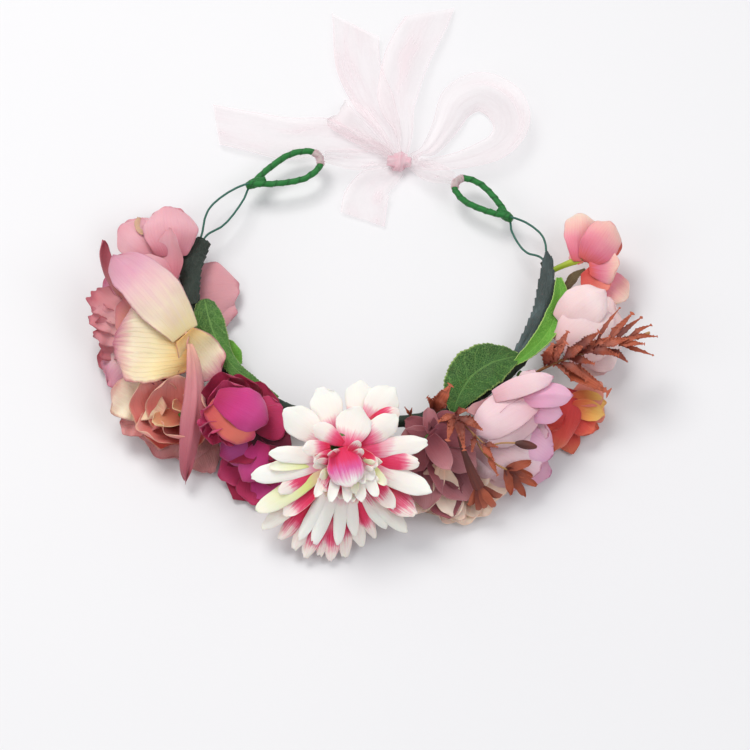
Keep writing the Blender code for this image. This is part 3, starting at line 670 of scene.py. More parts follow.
bloomPlans = {}  # foot and lip of each petal are shares of the flower's room, from -1 to 1
bloomPlans["paleRose"] = {
    "nodes": ("pale_rose_petals",), "slot": "pale_pink_petal", "seed": 1.1,
    "finishes": ("paleRose", "beigeFold"),
    "petals": [
        ((0.55, -0.60, 0.30), (0.42, 0.72, 0.55), (0.15, -0.20, 1.0), 32, {"outline": "wide", "cup": -0.75,
         "belly": -0.16, "cols": 10}),
        ((0.20, -0.60, 0.20), (-0.98, 0.34, 0.05), (-0.30, -0.10, 0.95), 24, {"outline": "wide", "cup": -0.6,
         "belly": -0.12}),
        ((0.60, -1.20, 0.20), (0.38, -0.02, 1.0), (-0.55, -0.55, 0.6), 16, {"outline": "bud", "cup": 0.9,
         "belly": 0.10, "curl": 0.10, "tone": 0.2}),
        ((0.58, -1.15, 0.20), (-0.32, -0.72, 0.75), (0.1, 0.35, 0.9), 14, {"outline": "bud", "cup": -0.8,
         "belly": -0.12, "tone": 0.15}),
        ((0.10, -0.35, 0.45), (-0.34, 0.36, 0.66), (0.25, -0.35, 0.9), 9, {"outline": "bud", "cup": -1.6,
         "tone": 0.1}),
        ((-0.25, -0.05, 0.50), (-0.46, 0.42, 0.50), (-0.1, -0.2, 1.0), 7, {"finish": 1, "outline": "bud"}),
        ((0.25, -0.30, -0.10), (-0.85, -0.75, -0.45), (-0.5, -0.2, 0.8), 24, {"cup": -0.5}),
        ((0.30, 0.10, -0.30), (-0.80, 0.80, -0.70), (-0.4, 0.5, 0.7), 26, {"cup": -0.5}),
        ((0.40, 0.20, -0.40), (0.70, 1.00, -0.30), (0.3, 0.6, 0.7), 26, {"cup": -0.5}),
        ((0.40, -0.20, -0.50), (-0.95, 0.05, -0.85), (-0.6, 0.0, 0.8), 26, {"cup": -0.4}),
    ],
}
bloomPlans["gardenRose"] = {
    "nodes": ("garden_rose_petals", "garden_rose_heart"), "room": ("garden_rose_petals",),
    "slot": "cream_mauve_petal", "seed": 2.3,
    "finishes": ("mauveCream", "creamPetal", "orangeFold", "dustyFrill", "rolledPink"),
    "petals": [
        ((0.92, -0.32, 0.50), (-0.62, 1.02, 0.72), (0.12, -0.05, 1.0), 31, {"outline": "shell", "cup": -0.85,
         "belly": -0.20, "twist": -0.12, "cols": 12, "rows": 16, "ruffle": 0.05, "curl": 0.04}),
        ((1.00, -0.50, 0.34), (-0.62, -0.36, 0.24), (-0.10, -0.30, 0.95), 47, {"finish": 1, "outline": "dome",
         "cup": 0.35, "belly": -0.14, "curl": 0.06, "cols": 14, "rows": 18, "ruffle": 0.03, "crumple": 0.13}),
        ((0.84, -0.40, 0.30), (-0.48, 0.26, 0.36), (0.05, -0.50, 0.85), 27, {"finish": 2, "outline": "fan",
         "cup": 0.4, "crumple": 0.08, "belly": -0.06, "frill": 0.05}),
        ((1.00, -0.46, 0.46), (0.92, -2.42, -0.70), (0.55, -0.20, 0.80), 14, {"finish": 4, "outline": "leaf",
         "cup": -1.0, "belly": -0.16, "twist": 0.5, "rows": 20, "cols": 12, "crumple": 0.20, "ruffle": 0.10,
         "crease": -0.3}),
        ((0.90, -0.36, 0.60), (1.58, -0.86, -0.10), (0.25, -0.35, 0.9), 26, {"finish": 1, "outline": "wide",
         "cup": 0.4, "tone": 0.9, "crumple": 0.10}),
        ((0.85, -0.25, 0.55), (0.30, -1.05, 0.10), (-0.2, -0.6, 0.7), 18, {"finish": 4, "outline": "wide",
         "cup": 0.5, "ruffle": 0.10}),
        ((-0.20, -0.05, 0.10), (-1.00, 0.55, 0.10), (-0.3, -0.2, 0.9), 17, {"finish": 3, "outline": "fan",
         "ruffle": 0.12, "waves": 3.0, "frill": 0.5, "belly": 0.02}),
        ((-0.20, -0.15, 0.05), (-1.06, 0.28, -0.05), (-0.3, -0.3, 0.9), 15, {"finish": 3, "outline": "fan",
         "ruffle": 0.14, "waves": 3.0, "frill": 0.5, "belly": 0.02}),
        ((-0.20, -0.25, -0.05), (-0.98, 0.04, -0.20), (-0.35, -0.4, 0.85), 15, {"finish": 3,
         "outline": "fan", "ruffle": 0.14, "waves": 3.0, "frill": 0.5, "belly": 0.02}),
        ((-0.15, -0.30, -0.20), (-0.86, -0.18, -0.45), (-0.5, -0.3, 0.8), 17, {"finish": 3, "outline": "fan",
         "ruffle": 0.15}),
        ((-0.30, 0.35, 0.15), (-0.90, 1.28, 0.55), (0.55, 0.10, 0.8), 13, {"finish": 4, "outline": "bud",
         "cup": 1.5, "belly": 0.10, "curl": -0.10}),
        ((0.20, 0.10, -0.30), (-0.75, 0.95, -0.35), (-0.4, 0.3, 0.8), 30, {"finish": 0, "cup": -0.5}),
        ((0.20, -0.20, -0.40), (-0.92, -0.35, -0.80), (-0.6, -0.2, 0.8), 34, {"finish": 3, "cup": -0.4,
         "ruffle": 0.08}),
        ((0.20, -0.20, -0.40), (-0.62, -0.92, -0.50), (-0.3, -0.6, 0.7), 30, {"finish": 0, "cup": -0.4,
         "ruffle": 0.06}),
        ((0.40, 0.00, -0.30), (0.55, 0.98, -0.20), (0.3, 0.6, 0.7), 30, {"finish": 0, "cup": -0.6}),
        ((0.60, -0.10, -0.20), (0.95, 0.30, 0.55), (0.9, 0.2, 0.2), 24, {"finish": 1, "cup": -0.5}),
    ],
}
bloomPlans["lowerRose"] = {
    "nodes": ("lower_rose_petals",), "slot": "salmon_petal", "seed": 3.7,
    "finishes": ("salmonCup", "creamBlush", "dustySkirt", "salmonEdge"),
    "petals": [
        ((-0.38, 0.02, 0.22), (-1.46, 0.60, 0.34), (-0.15, -0.35, 0.95), 30, {"finish": 1, "outline": "fan",
         "cup": 0.5, "ruffle": 0.12, "crumple": 0.12, "waves": 3.0}),
        ((-0.45, -0.15, 0.10), (-1.34, 0.12, -0.25), (-0.35, -0.30, 0.9), 22, {"finish": 2, "outline": "fan",
         "ruffle": 0.12, "waves": 4.0}),
        ((-0.20, -0.45, -0.45), (-0.78, 0.62, 0.78), (0.30, -0.85, 0.45), 30, {"outline": "wide", "cup": 0.5}),
        ((0.00, -0.45, -0.45), (-0.10, 0.66, 0.92), (0.05, -0.90, 0.45), 38, {"outline": "wide", "cup": 0.7,
         "crumple": 0.03}),
        ((0.10, -0.50, -0.40), (0.36, 0.34, 0.80), (-0.70, -0.55, 0.45), 26, {"outline": "wide", "cup": 0.6,
         "crumple": 0.03}),
        ((0.10, -0.10, -0.40), (-0.98, -0.28, 0.20), (0.15, 0.25, 0.9), 26, {"outline": "wide", "cup": 0.8}),
        ((0.20, -0.10, -0.30), (-0.36, -0.52, 0.36), (0.1, 0.45, 0.9), 24, {"outline": "wide", "cup": 0.9,
         "curl": -0.06}),
        ((0.30, 0.24, -0.10), (-0.62, -0.30, 0.50), (0.25, 0.35, 0.8), 15, {"finish": 3, "outline": "wide",
         "cup": 0.9, "crumple": 0.05}),
        ((0.34, 0.30, -0.10), (-0.18, 0.00, 0.62), (0.3, 0.3, 0.8), 13, {"finish": 3, "outline": "wide",
         "cup": 0.8, "crumple": 0.05}),
        ((-0.10, 0.10, -0.10), (-0.95, -0.22, -0.60), (-0.45, -0.30, 0.85), 27, {"finish": 2,
         "outline": "wide", "cup": -0.4, "ruffle": 0.07}),
        ((-0.10, 0.10, -0.10), (-0.55, -0.66, -0.76), (-0.25, -0.50, 0.85), 29, {"finish": 2,
         "outline": "wide", "cup": -0.4, "ruffle": 0.06}),
        ((0.05, 0.10, -0.10), (0.12, -0.78, -0.76), (0.0, -0.55, 0.85), 29, {"finish": 2,
         "outline": "wide", "cup": -0.5, "ruffle": 0.07}),
        ((0.15, 0.10, -0.20), (0.62, -0.98, -0.82), (0.3, -0.55, 0.8), 22, {"finish": 2,
         "outline": "wide", "cup": -0.4, "ruffle": 0.08}),
        ((-0.20, 0.20, -0.30), (-1.10, 0.45, -0.75), (-0.5, 0.1, 0.85), 26, {"finish": 2, "cup": -0.3}),
        ((0.10, 0.20, -0.30), (0.80, 0.10, 0.10), (0.7, 0.0, 0.7), 24, {"finish": 0, "cup": -0.5}),
    ],
}
bloomPlans["magentaPeony"] = {
    "nodes": ("magenta_peony_petals", "magenta_peony_heart"), "room": ("magenta_peony_petals",),
    "slot": "magenta_petal", "seed": 5.2,
    "finishes": ("crimsonBack", "magentaOuter", "coralHeart", "crimsonPink", "maroonDeep"),
    "petals": [
        ((-0.15, 0.10, -0.20), (-0.58, 0.98, 0.45), (-0.1, -0.45, 0.85), 30, {"outline": "wide", "cup": 0.8}),
        ((-0.05, 0.20, -0.20), (-0.05, 0.98, 0.38), (0.0, -0.45, 0.9), 28, {"outline": "wide", "cup": 0.8}),
        ((-0.10, 0.00, 0.00), (-0.42, 0.72, 0.62), (-0.1, -0.60, 0.75), 26, {"outline": "wide", "cup": 0.9,
         "finish": 3}),
        ((-0.62, 0.34, 0.60), (0.70, -0.16, 0.26), (0.08, -0.15, 1.0), 25, {"finish": 1, "outline": "rose",
         "cup": -0.85, "belly": -0.20, "cols": 10, "rows": 13}),
        ((-0.80, 0.16, 0.50), (0.34, -0.52, 0.16), (0.05, -0.35, 0.9), 20, {"finish": 2, "outline": "wide",
         "cup": -0.5, "belly": -0.14}),
        ((-0.84, 0.06, 0.44), (0.16, -0.50, 0.20), (-0.1, -0.45, 0.85), 14, {"finish": 2, "outline": "bud",
         "cup": -0.4, "belly": -0.12, "tone": 0.2}),
        ((-0.55, 0.30, 0.00), (-0.98, -0.30, 0.42), (-0.75, 0.20, 0.6), 18, {"finish": 3, "cup": -0.8,
         "outline": "wide"}),
        ((-0.45, 0.40, 0.00), (-0.78, -0.52, 0.40), (-0.70, 0.10, 0.7), 16, {"finish": 3, "cup": -0.9,
         "outline": "wide", "tone": 0.1}),
        ((-0.30, -0.10, 0.10), (-0.98, 0.02, 0.52), (-0.5, -0.3, 0.8), 15, {"finish": 3, "ruffle": 0.1}),
        ((-0.30, -0.15, 0.05), (-1.08, -0.18, 0.30), (-0.5, -0.4, 0.75), 15, {"finish": 3, "ruffle": 0.1}),
        ((-0.30, -0.20, 0.00), (-0.94, -0.38, 0.12), (-0.4, -0.6, 0.7), 15, {"finish": 3, "ruffle": 0.1}),
        ((-0.20, -0.20, 0.00), (-0.52, -0.52, 0.10), (-0.1, -0.7, 0.7), 15, {"finish": 3, "ruffle": 0.1}),
        ((0.30, -0.10, 0.00), (1.22, -0.02, 0.06), (0.2, -0.3, 0.9), 20, {"finish": 3, "cup": -0.4}),
        ((0.30, -0.20, -0.10), (1.26, -0.55, -0.30), (0.3, -0.4, 0.85), 24, {"finish": 4, "cup": 0.5}),
        ((0.35, 0.10, 0.00), (1.05, 0.34, 0.05), (0.5, 0.1, 0.8), 20, {"finish": 3, "cup": -0.4}),
        ((0.20, 0.30, -0.30), (0.55, 1.00, -0.10), (0.2, 0.5, 0.8), 26, {"finish": 0, "cup": -0.4}),
        ((0.00, -0.20, -0.20), (0.20, -0.95, -0.30), (0.0, -0.7, 0.6), 24, {"finish": 0, "cup": -0.4}),
    ],
}
bloomPlans["magentaBud"] = {
    "nodes": ("magenta_bud_petals",), "slot": "magenta_petal", "seed": 6.4,
    "finishes": ("purpleBud", "crimsonPink", "magentaOuter", "crimsonBack"),
    "petals": [
        ((0.30, 0.75, 0.50), (-0.92, 0.30, 0.40), (-0.25, -0.45, 0.9), 21, {"outline": "wide", "cup": -0.9,
         "belly": -0.18}),
        ((0.10, 0.40, 0.00), (-0.95, -0.12, -0.55), (-0.4, -0.3, 0.85), 20, {"finish": 1, "cup": -0.5,
         "ruffle": 0.08}),
        ((0.42, 0.55, 0.80), (-0.15, -0.42, -0.10), (-0.2, -0.45, 0.85), 16, {"finish": 2, "outline": "wide",
         "cup": -0.8, "belly": -0.14}),
        ((0.70, 0.50, 0.70), (0.40, -0.36, -0.05), (0.2, -0.45, 0.85), 16, {"finish": 1, "outline": "wide",
         "cup": -0.7, "belly": -0.14}),
        ((0.30, 0.10, -0.10), (0.10, -0.92, -0.75), (0.0, -0.55, 0.8), 22, {"finish": 1, "cup": -0.4}),
        ((0.40, 0.10, -0.10), (0.80, -0.80, -0.65), (0.2, -0.5, 0.85), 22, {"finish": 2, "cup": -0.4}),
        ((0.20, 0.10, -0.30), (-0.50, -0.70, -0.80), (-0.3, -0.5, 0.8), 22, {"finish": 3, "cup": -0.4}),
        ((0.40, 0.20, -0.10), (1.05, -0.10, -0.20), (0.4, -0.2, 0.85), 20, {"finish": 3, "cup": -0.4}),
        ((0.10, 0.50, -0.20), (-0.90, 0.85, -0.50), (-0.4, 0.3, 0.8), 20, {"finish": 3, "cup": -0.4}),
    ],
}
bloomPlans["mauveFlower"] = {
    "nodes": ("mauve_flower_petals",), "slot": "mauve_petal", "seed": 7.9,
    "finishes": ("mauvePetal", "mauveDark", "peachPetal"),
    "petals": [
        ((-0.30, 0.55, 0.40), (1.02, -0.62, -0.62), (0.25, -0.25, 0.95), 26, {"outline": "rose", "cup": 0.5,
         "rows": 15, "cols": 10, "crumple": 0.03, "frill": 0.04}),
        ((-0.45, 0.40, 0.25), (0.36, -0.98, -0.85), (0.0, -0.35, 0.95), 22, {"outline": "rose", "cup": 0.5,
         "finish": 1, "crumple": 0.03, "frill": 0.04}),
        ((-0.35, 0.60, 0.50), (1.22, -0.08, -0.05), (0.2, -0.45, 0.9), 19, {"outline": "rose", "cup": -0.6,
         "crumple": 0.03, "frill": 0.04}),
        ((-0.50, 0.45, 0.30), (-0.50, -0.85, -0.60), (-0.1, -0.4, 0.9), 20, {"outline": "rose", "cup": 0.5,
         "crumple": 0.03, "frill": 0.04}),
        ((-0.55, 0.50, 0.35), (-1.18, -0.12, -0.10), (-0.4, -0.3, 0.9), 19, {"outline": "rose", "cup": 0.5,
         "finish": 1, "crumple": 0.03, "frill": 0.04}),
        ((-0.40, 0.60, 0.35), (-1.42, 0.55, 0.00), (-0.2, -0.3, 0.95), 14, {"outline": "shell"}),
        ((-0.40, 0.65, 0.40), (-1.20, 1.02, 0.20), (-0.1, -0.2, 0.95), 12, {"outline": "shell", "finish": 1}),
        ((-0.25, 0.60, 0.40), (-0.42, 1.22, 0.50), (0.0, -0.5, 0.9), 9, {"outline": "shell", "cup": 0.9}),
        ((-0.20, 0.60, 0.45), (1.25, 0.62, 0.50), (0.2, -0.3, 0.95), 17, {"outline": "wide", "cup": -0.6}),
        ((-0.25, 0.70, 0.45), (0.60, 1.06, 0.45), (0.1, -0.2, 0.95), 14, {"outline": "wide", "cup": -0.5,
         "finish": 1}),
        ((-0.40, 0.50, 0.50), (0.34, -0.24, 0.30), (0.1, -0.5, 0.9), 13, {"outline": "shell", "cup": 1.0}),
        ((-0.20, 0.40, -0.20), (0.72, -1.00, -0.94), (0.1, -0.4, 0.9), 13, {"finish": 2, "outline": "rose"}),
        ((0.00, 0.00, 0.00), (0.50, -0.95, -0.85), (0.1, -0.45, 0.9), 16, {"finish": 2, "outline": "rose"}),
        ((0.00, 0.00, 0.00), (-0.85, -0.90, -0.80), (-0.2, -0.4, 0.9), 15, {"finish": 2, "outline": "bud"}),
        ((0.00, 0.10, -0.20), (1.00, -0.10, -0.60), (0.5, -0.1, 0.8), 20, {"finish": 1}),
    ],
}
bloomPlans["peachFlower"] = {
    "nodes": ("peach_flower_petals",), "slot": "peach_petal", "seed": 8.8,
    "finishes": ("peachPetal",),
    "petals": [
        ((0.00, 0.35, 0.10), (-1.00, -0.40, -0.55), (-0.2, -0.2, 0.95), 20, {"cup": 0.4, "outline": "wide"}),
        ((0.00, 0.30, 0.10), (-0.38, -0.80, -0.60), (-0.1, -0.3, 0.95), 20, {"cup": 0.4, "outline": "wide"}),
        ((0.00, 0.30, 0.15), (0.20, -0.86, -0.55), (0.0, -0.3, 0.95), 21, {"cup": 0.5, "outline": "wide"}),
        ((0.10, 0.40, 0.20), (0.85, -0.56, -0.45), (0.1, -0.3, 0.95), 22, {"cup": 0.5, "outline": "wide"}),
        ((0.20, 0.50, 0.45), (1.35, 0.10, 0.05), (0.2, -0.25, 0.95), 23, {"cup": 0.4, "outline": "wide"}),
        ((0.10, 0.55, 0.50), (0.95, 0.75, 0.50), (0.2, 0.0, 1.0), 20, {"cup": 0.3, "outline": "wide"}),
        ((0.00, 0.40, 0.30), (-0.80, 0.60, 0.10), (-0.2, 0.2, 0.9), 20, {"cup": 0.3, "outline": "wide"}),
    ],
}
bloomPlans["upperMagnolia"] = {
    "nodes": ("upper_magnolia_petals",), "slot": "lilac_pink_petal", "seed": 9.6,
    "finishes": ("magnoliaPink", "magnoliaLilac", "mauvePetal"),
    "petals": [
        ((0.26, 0.06, 0.34), (-1.12, -0.90, -0.12), (-0.30, -0.30, 0.95), 25, {"outline": "shell", "cup": -0.75,
         "belly": -0.15, "cols": 12, "rows": 15, "crumple": 0.03, "frill": 0.03, "ruffle": 0.01}),
        ((0.34, -0.10, 0.16), (-0.82, -1.16, -0.30), (0.10, -0.75, 0.75), 22, {"outline": "shell",
         "cup": -0.7, "belly": -0.14, "crumple": 0.02, "frill": 0.03, "tone": 0.1}),
        ((-0.10, 0.20, 0.35), (-1.28, -0.30, 0.00), (-0.35, 0.10, 0.95), 14, {"finish": 2, "cup": -0.5,
         "outline": "bud"}),
        ((-0.66, -0.06, 0.60), (0.72, 0.46, 0.82), (0.0, -0.20, 1.0), 12, {"outline": "shell", "cup": -0.5,
         "belly": -0.10, "crumple": 0.02, "frill": 0.02}),
        ((-0.12, 0.00, 0.44), (1.16, 0.08, 0.32), (0.1, -0.25, 0.95), 15, {"finish": 1, "outline": "shell",
         "cup": -0.6, "belly": -0.12, "crease": -0.22, "crumple": 0.02, "frill": 0.02}),
        ((-0.05, -0.20, 0.10), (0.92, -0.34, -0.10), (0.1, -0.45, 0.9), 15, {"finish": 1, "outline": "shell",
         "cup": -0.6, "belly": -0.12, "crumple": 0.02, "frill": 0.02}),
        ((-0.40, 0.20, 0.10), (0.30, 0.85, 0.30), (0.0, 0.6, 0.8), 22, {"cup": -0.6}),
        ((-0.50, 0.00, -0.30), (0.80, 0.50, -0.40), (0.2, 0.6, 0.6), 24, {"cup": -0.6}),
        ((-0.60, -0.30, -0.50), (0.60, -0.80, -0.70), (0.1, -0.7, 0.4), 24, {"cup": -0.6}),
    ],
}
bloomPlans["lowerMagnolia"] = {
    "nodes": ("lower_magnolia_petals",), "slot": "lilac_pink_petal", "seed": 10.3,
    "finishes": ("magnoliaPink", "magnoliaLilac"),
    "petals": [
        ((-0.70, 0.46, 0.10), (0.72, -0.34, -0.34), (-0.05, -0.50, 0.85), 38, {"outline": "dome", "cup": -0.95,
         "belly": -0.22, "cols": 12, "rows": 14, "crumple": 0.02, "frill": 0.03}),
        ((-0.10, 0.62, 0.35), (1.00, 0.02, -0.25), (0.25, -0.25, 0.95), 28, {"outline": "wide", "cup": -0.8,
         "belly": -0.20, "finish": 1, "tone": 0.95, "crumple": 0.02, "frill": 0.03}),
        ((-0.20, 0.60, 0.20), (1.04, 0.30, -0.10), (0.3, 0.0, 0.95), 24, {"outline": "wide", "cup": -0.9,
         "belly": -0.18, "finish": 1}),
        ((0.25, -0.10, -0.40), (0.98, -0.22, -0.86), (0.3, -0.4, 0.85), 17, {"finish": 1, "outline": "wide",
         "cup": -0.5}),
        ((-0.50, 0.30, -0.30), (0.10, -0.75, -0.70), (-0.1, -0.6, 0.7), 32, {"cup": -0.9, "belly": -0.2}),
        ((-0.50, 0.30, -0.20), (-0.85, -0.50, -0.70), (-0.6, -0.4, 0.6), 26, {"cup": -0.8, "belly": -0.2}),
        ((0.00, 0.50, -0.20), (0.90, 0.75, -0.30), (0.4, 0.5, 0.7), 24, {"cup": -0.7}),
    ],
}
bloomPlans["coralLily"] = {
    "nodes": ("coral_lily_petals",), "slot": "coral_petal", "seed": 11.5,
    "finishes": ("coralPetal", "coralYellow", "maroonDeep", "salmonLip"),
    "petals": [
        ((-0.10, 0.75, 0.55), (-0.62, -0.86, -0.55), (0.30, -0.30, 0.90), 19, {"outline": "shell", "cup": -0.8,
         "belly": -0.14, "rows": 14}),
        ((-0.40, 0.30, 0.50), (-0.88, -0.46, 0.20), (-0.2, -0.4, 0.9), 17, {"cup": 0.6}),
        ((-0.20, 0.35, 0.55), (0.92, 0.42, 0.22), (0.1, -0.35, 0.9), 14, {"finish": 1, "outline": "bud",
         "cup": -0.5}),
        ((-0.10, 0.25, 0.45), (0.86, 0.10, 0.00), (0.1, -0.5, 0.85), 12, {"finish": 1, "outline": "bud",
         "cup": 0.6}),
        ((-0.10, 0.20, 0.30), (0.55, -0.35, -0.30), (0.3, -0.4, 0.85), 16, {"cup": -0.5}),
        ((0.00, 0.50, 0.30), (0.78, 1.02, 0.35), (0.2, 0.3, 0.95), 19, {"finish": 3, "outline": "wide",
         "cup": -0.5}),
        ((-0.30, 0.20, -0.10), (-0.05, -0.85, -0.85), (0.2, -0.5, 0.8), 15, {"cup": -0.6, "outline": "bud"}),
        ((-0.20, 0.30, -0.30), (0.70, -0.05, -0.80), (0.4, -0.2, 0.9), 16, {"cup": -0.5, "outline": "bud"}),
        ((0.00, 0.30, -0.20), (0.80, 0.85, -0.70), (0.4, 0.5, 0.8), 22, {"finish": 3, "cup": -0.4}),
    ],
}
bloomPlans["blushRose"] = {
    "nodes": ("blush_rose_petals",), "slot": "blush_petal", "seed": 12.7,
    "finishes": ("blushPetal",),
    "petals": [
        ((-0.92, 0.05, 0.20), (0.40, 0.86, 0.56), (-0.1, -0.15, 1.0), 27, {"outline": "shell", "cup": -0.8,
         "belly": -0.16, "cols": 12, "rows": 14}),
        ((-0.88, -0.60, 0.00), (0.62, 0.32, 0.20), (0.05, -0.30, 0.95), 36, {"outline": "wide", "cup": -0.95,
         "belly": -0.20, "cols": 12, "rows": 13}),
        ((-0.40, -0.60, -0.20), (0.90, -0.30, -0.20), (0.3, -0.4, 0.85), 28, {"outline": "wide",
         "cup": -0.7, "belly": -0.14}),
        ((0.30, 0.10, -0.10), (1.02, 0.28, -0.62), (0.6, -0.1, 0.8), 18, {"outline": "wide", "cup": -0.5}),
        ((-0.30, 0.00, -0.20), (0.60, 1.00, -0.20), (0.3, 0.6, 0.7), 28, {"cup": -0.6}),
        ((-0.40, -0.20, -0.40), (0.40, -0.98, -0.60), (0.1, -0.7, 0.6), 26, {"cup": -0.6}),
        ((-0.60, -0.10, -0.20), (-0.90, 0.80, -0.20), (-0.6, 0.5, 0.5), 24, {"cup": -0.6}),
    ],
}
bloomPlans["blossom"] = {
    "nodes": ("blossom_petals",), "slot": "blossom_petal", "seed": 13.9, "body": "blossom",
    "finishes": ("blossomPetal", "blossomCoral", "limeStem"),
    "petals": [
        ((-0.72, -0.25, -0.20), (-0.70, 1.02, 0.20), (0.25, -0.15, 0.95), 23, {"outline": "wide",
         "cup": -0.6, "belly": -0.10, "curl": 0.10}),
        ((-0.66, -0.25, -0.10), (-1.02, 0.36, -0.30), (-0.5, 0.1, 0.85), 16, {"outline": "wide",
         "cup": -0.4}),
        ((-0.60, -0.28, -0.10), (0.46, 0.56, 0.62), (0.15, -0.35, 0.9), 22, {"outline": "wide",
         "cup": -0.7, "belly": -0.14, "curl": 0.05}),
        ((-0.50, -0.35, -0.10), (0.66, -0.36, 0.15), (0.25, -0.30, 0.9), 22, {"outline": "wide",
         "cup": -0.6, "tone": 0.2}),
        ((-0.55, -0.40, -0.20), (0.20, -0.92, -0.50), (0.1, -0.45, 0.9), 20, {"finish": 1,
         "outline": "wide", "cup": -0.5}),
        ((-0.10, -0.50, -0.40), (1.02, -1.02, -0.90), (0.3, -0.3, 0.9), 19, {"outline": "wide", "cup": -0.5,
         "curl": 0.08}),
        ((-0.60, -0.20, -0.30), (0.60, 0.60, -0.30), (0.4, 0.4, 0.8), 20, {"finish": 1, "outline": "wide"}),
    ],
}


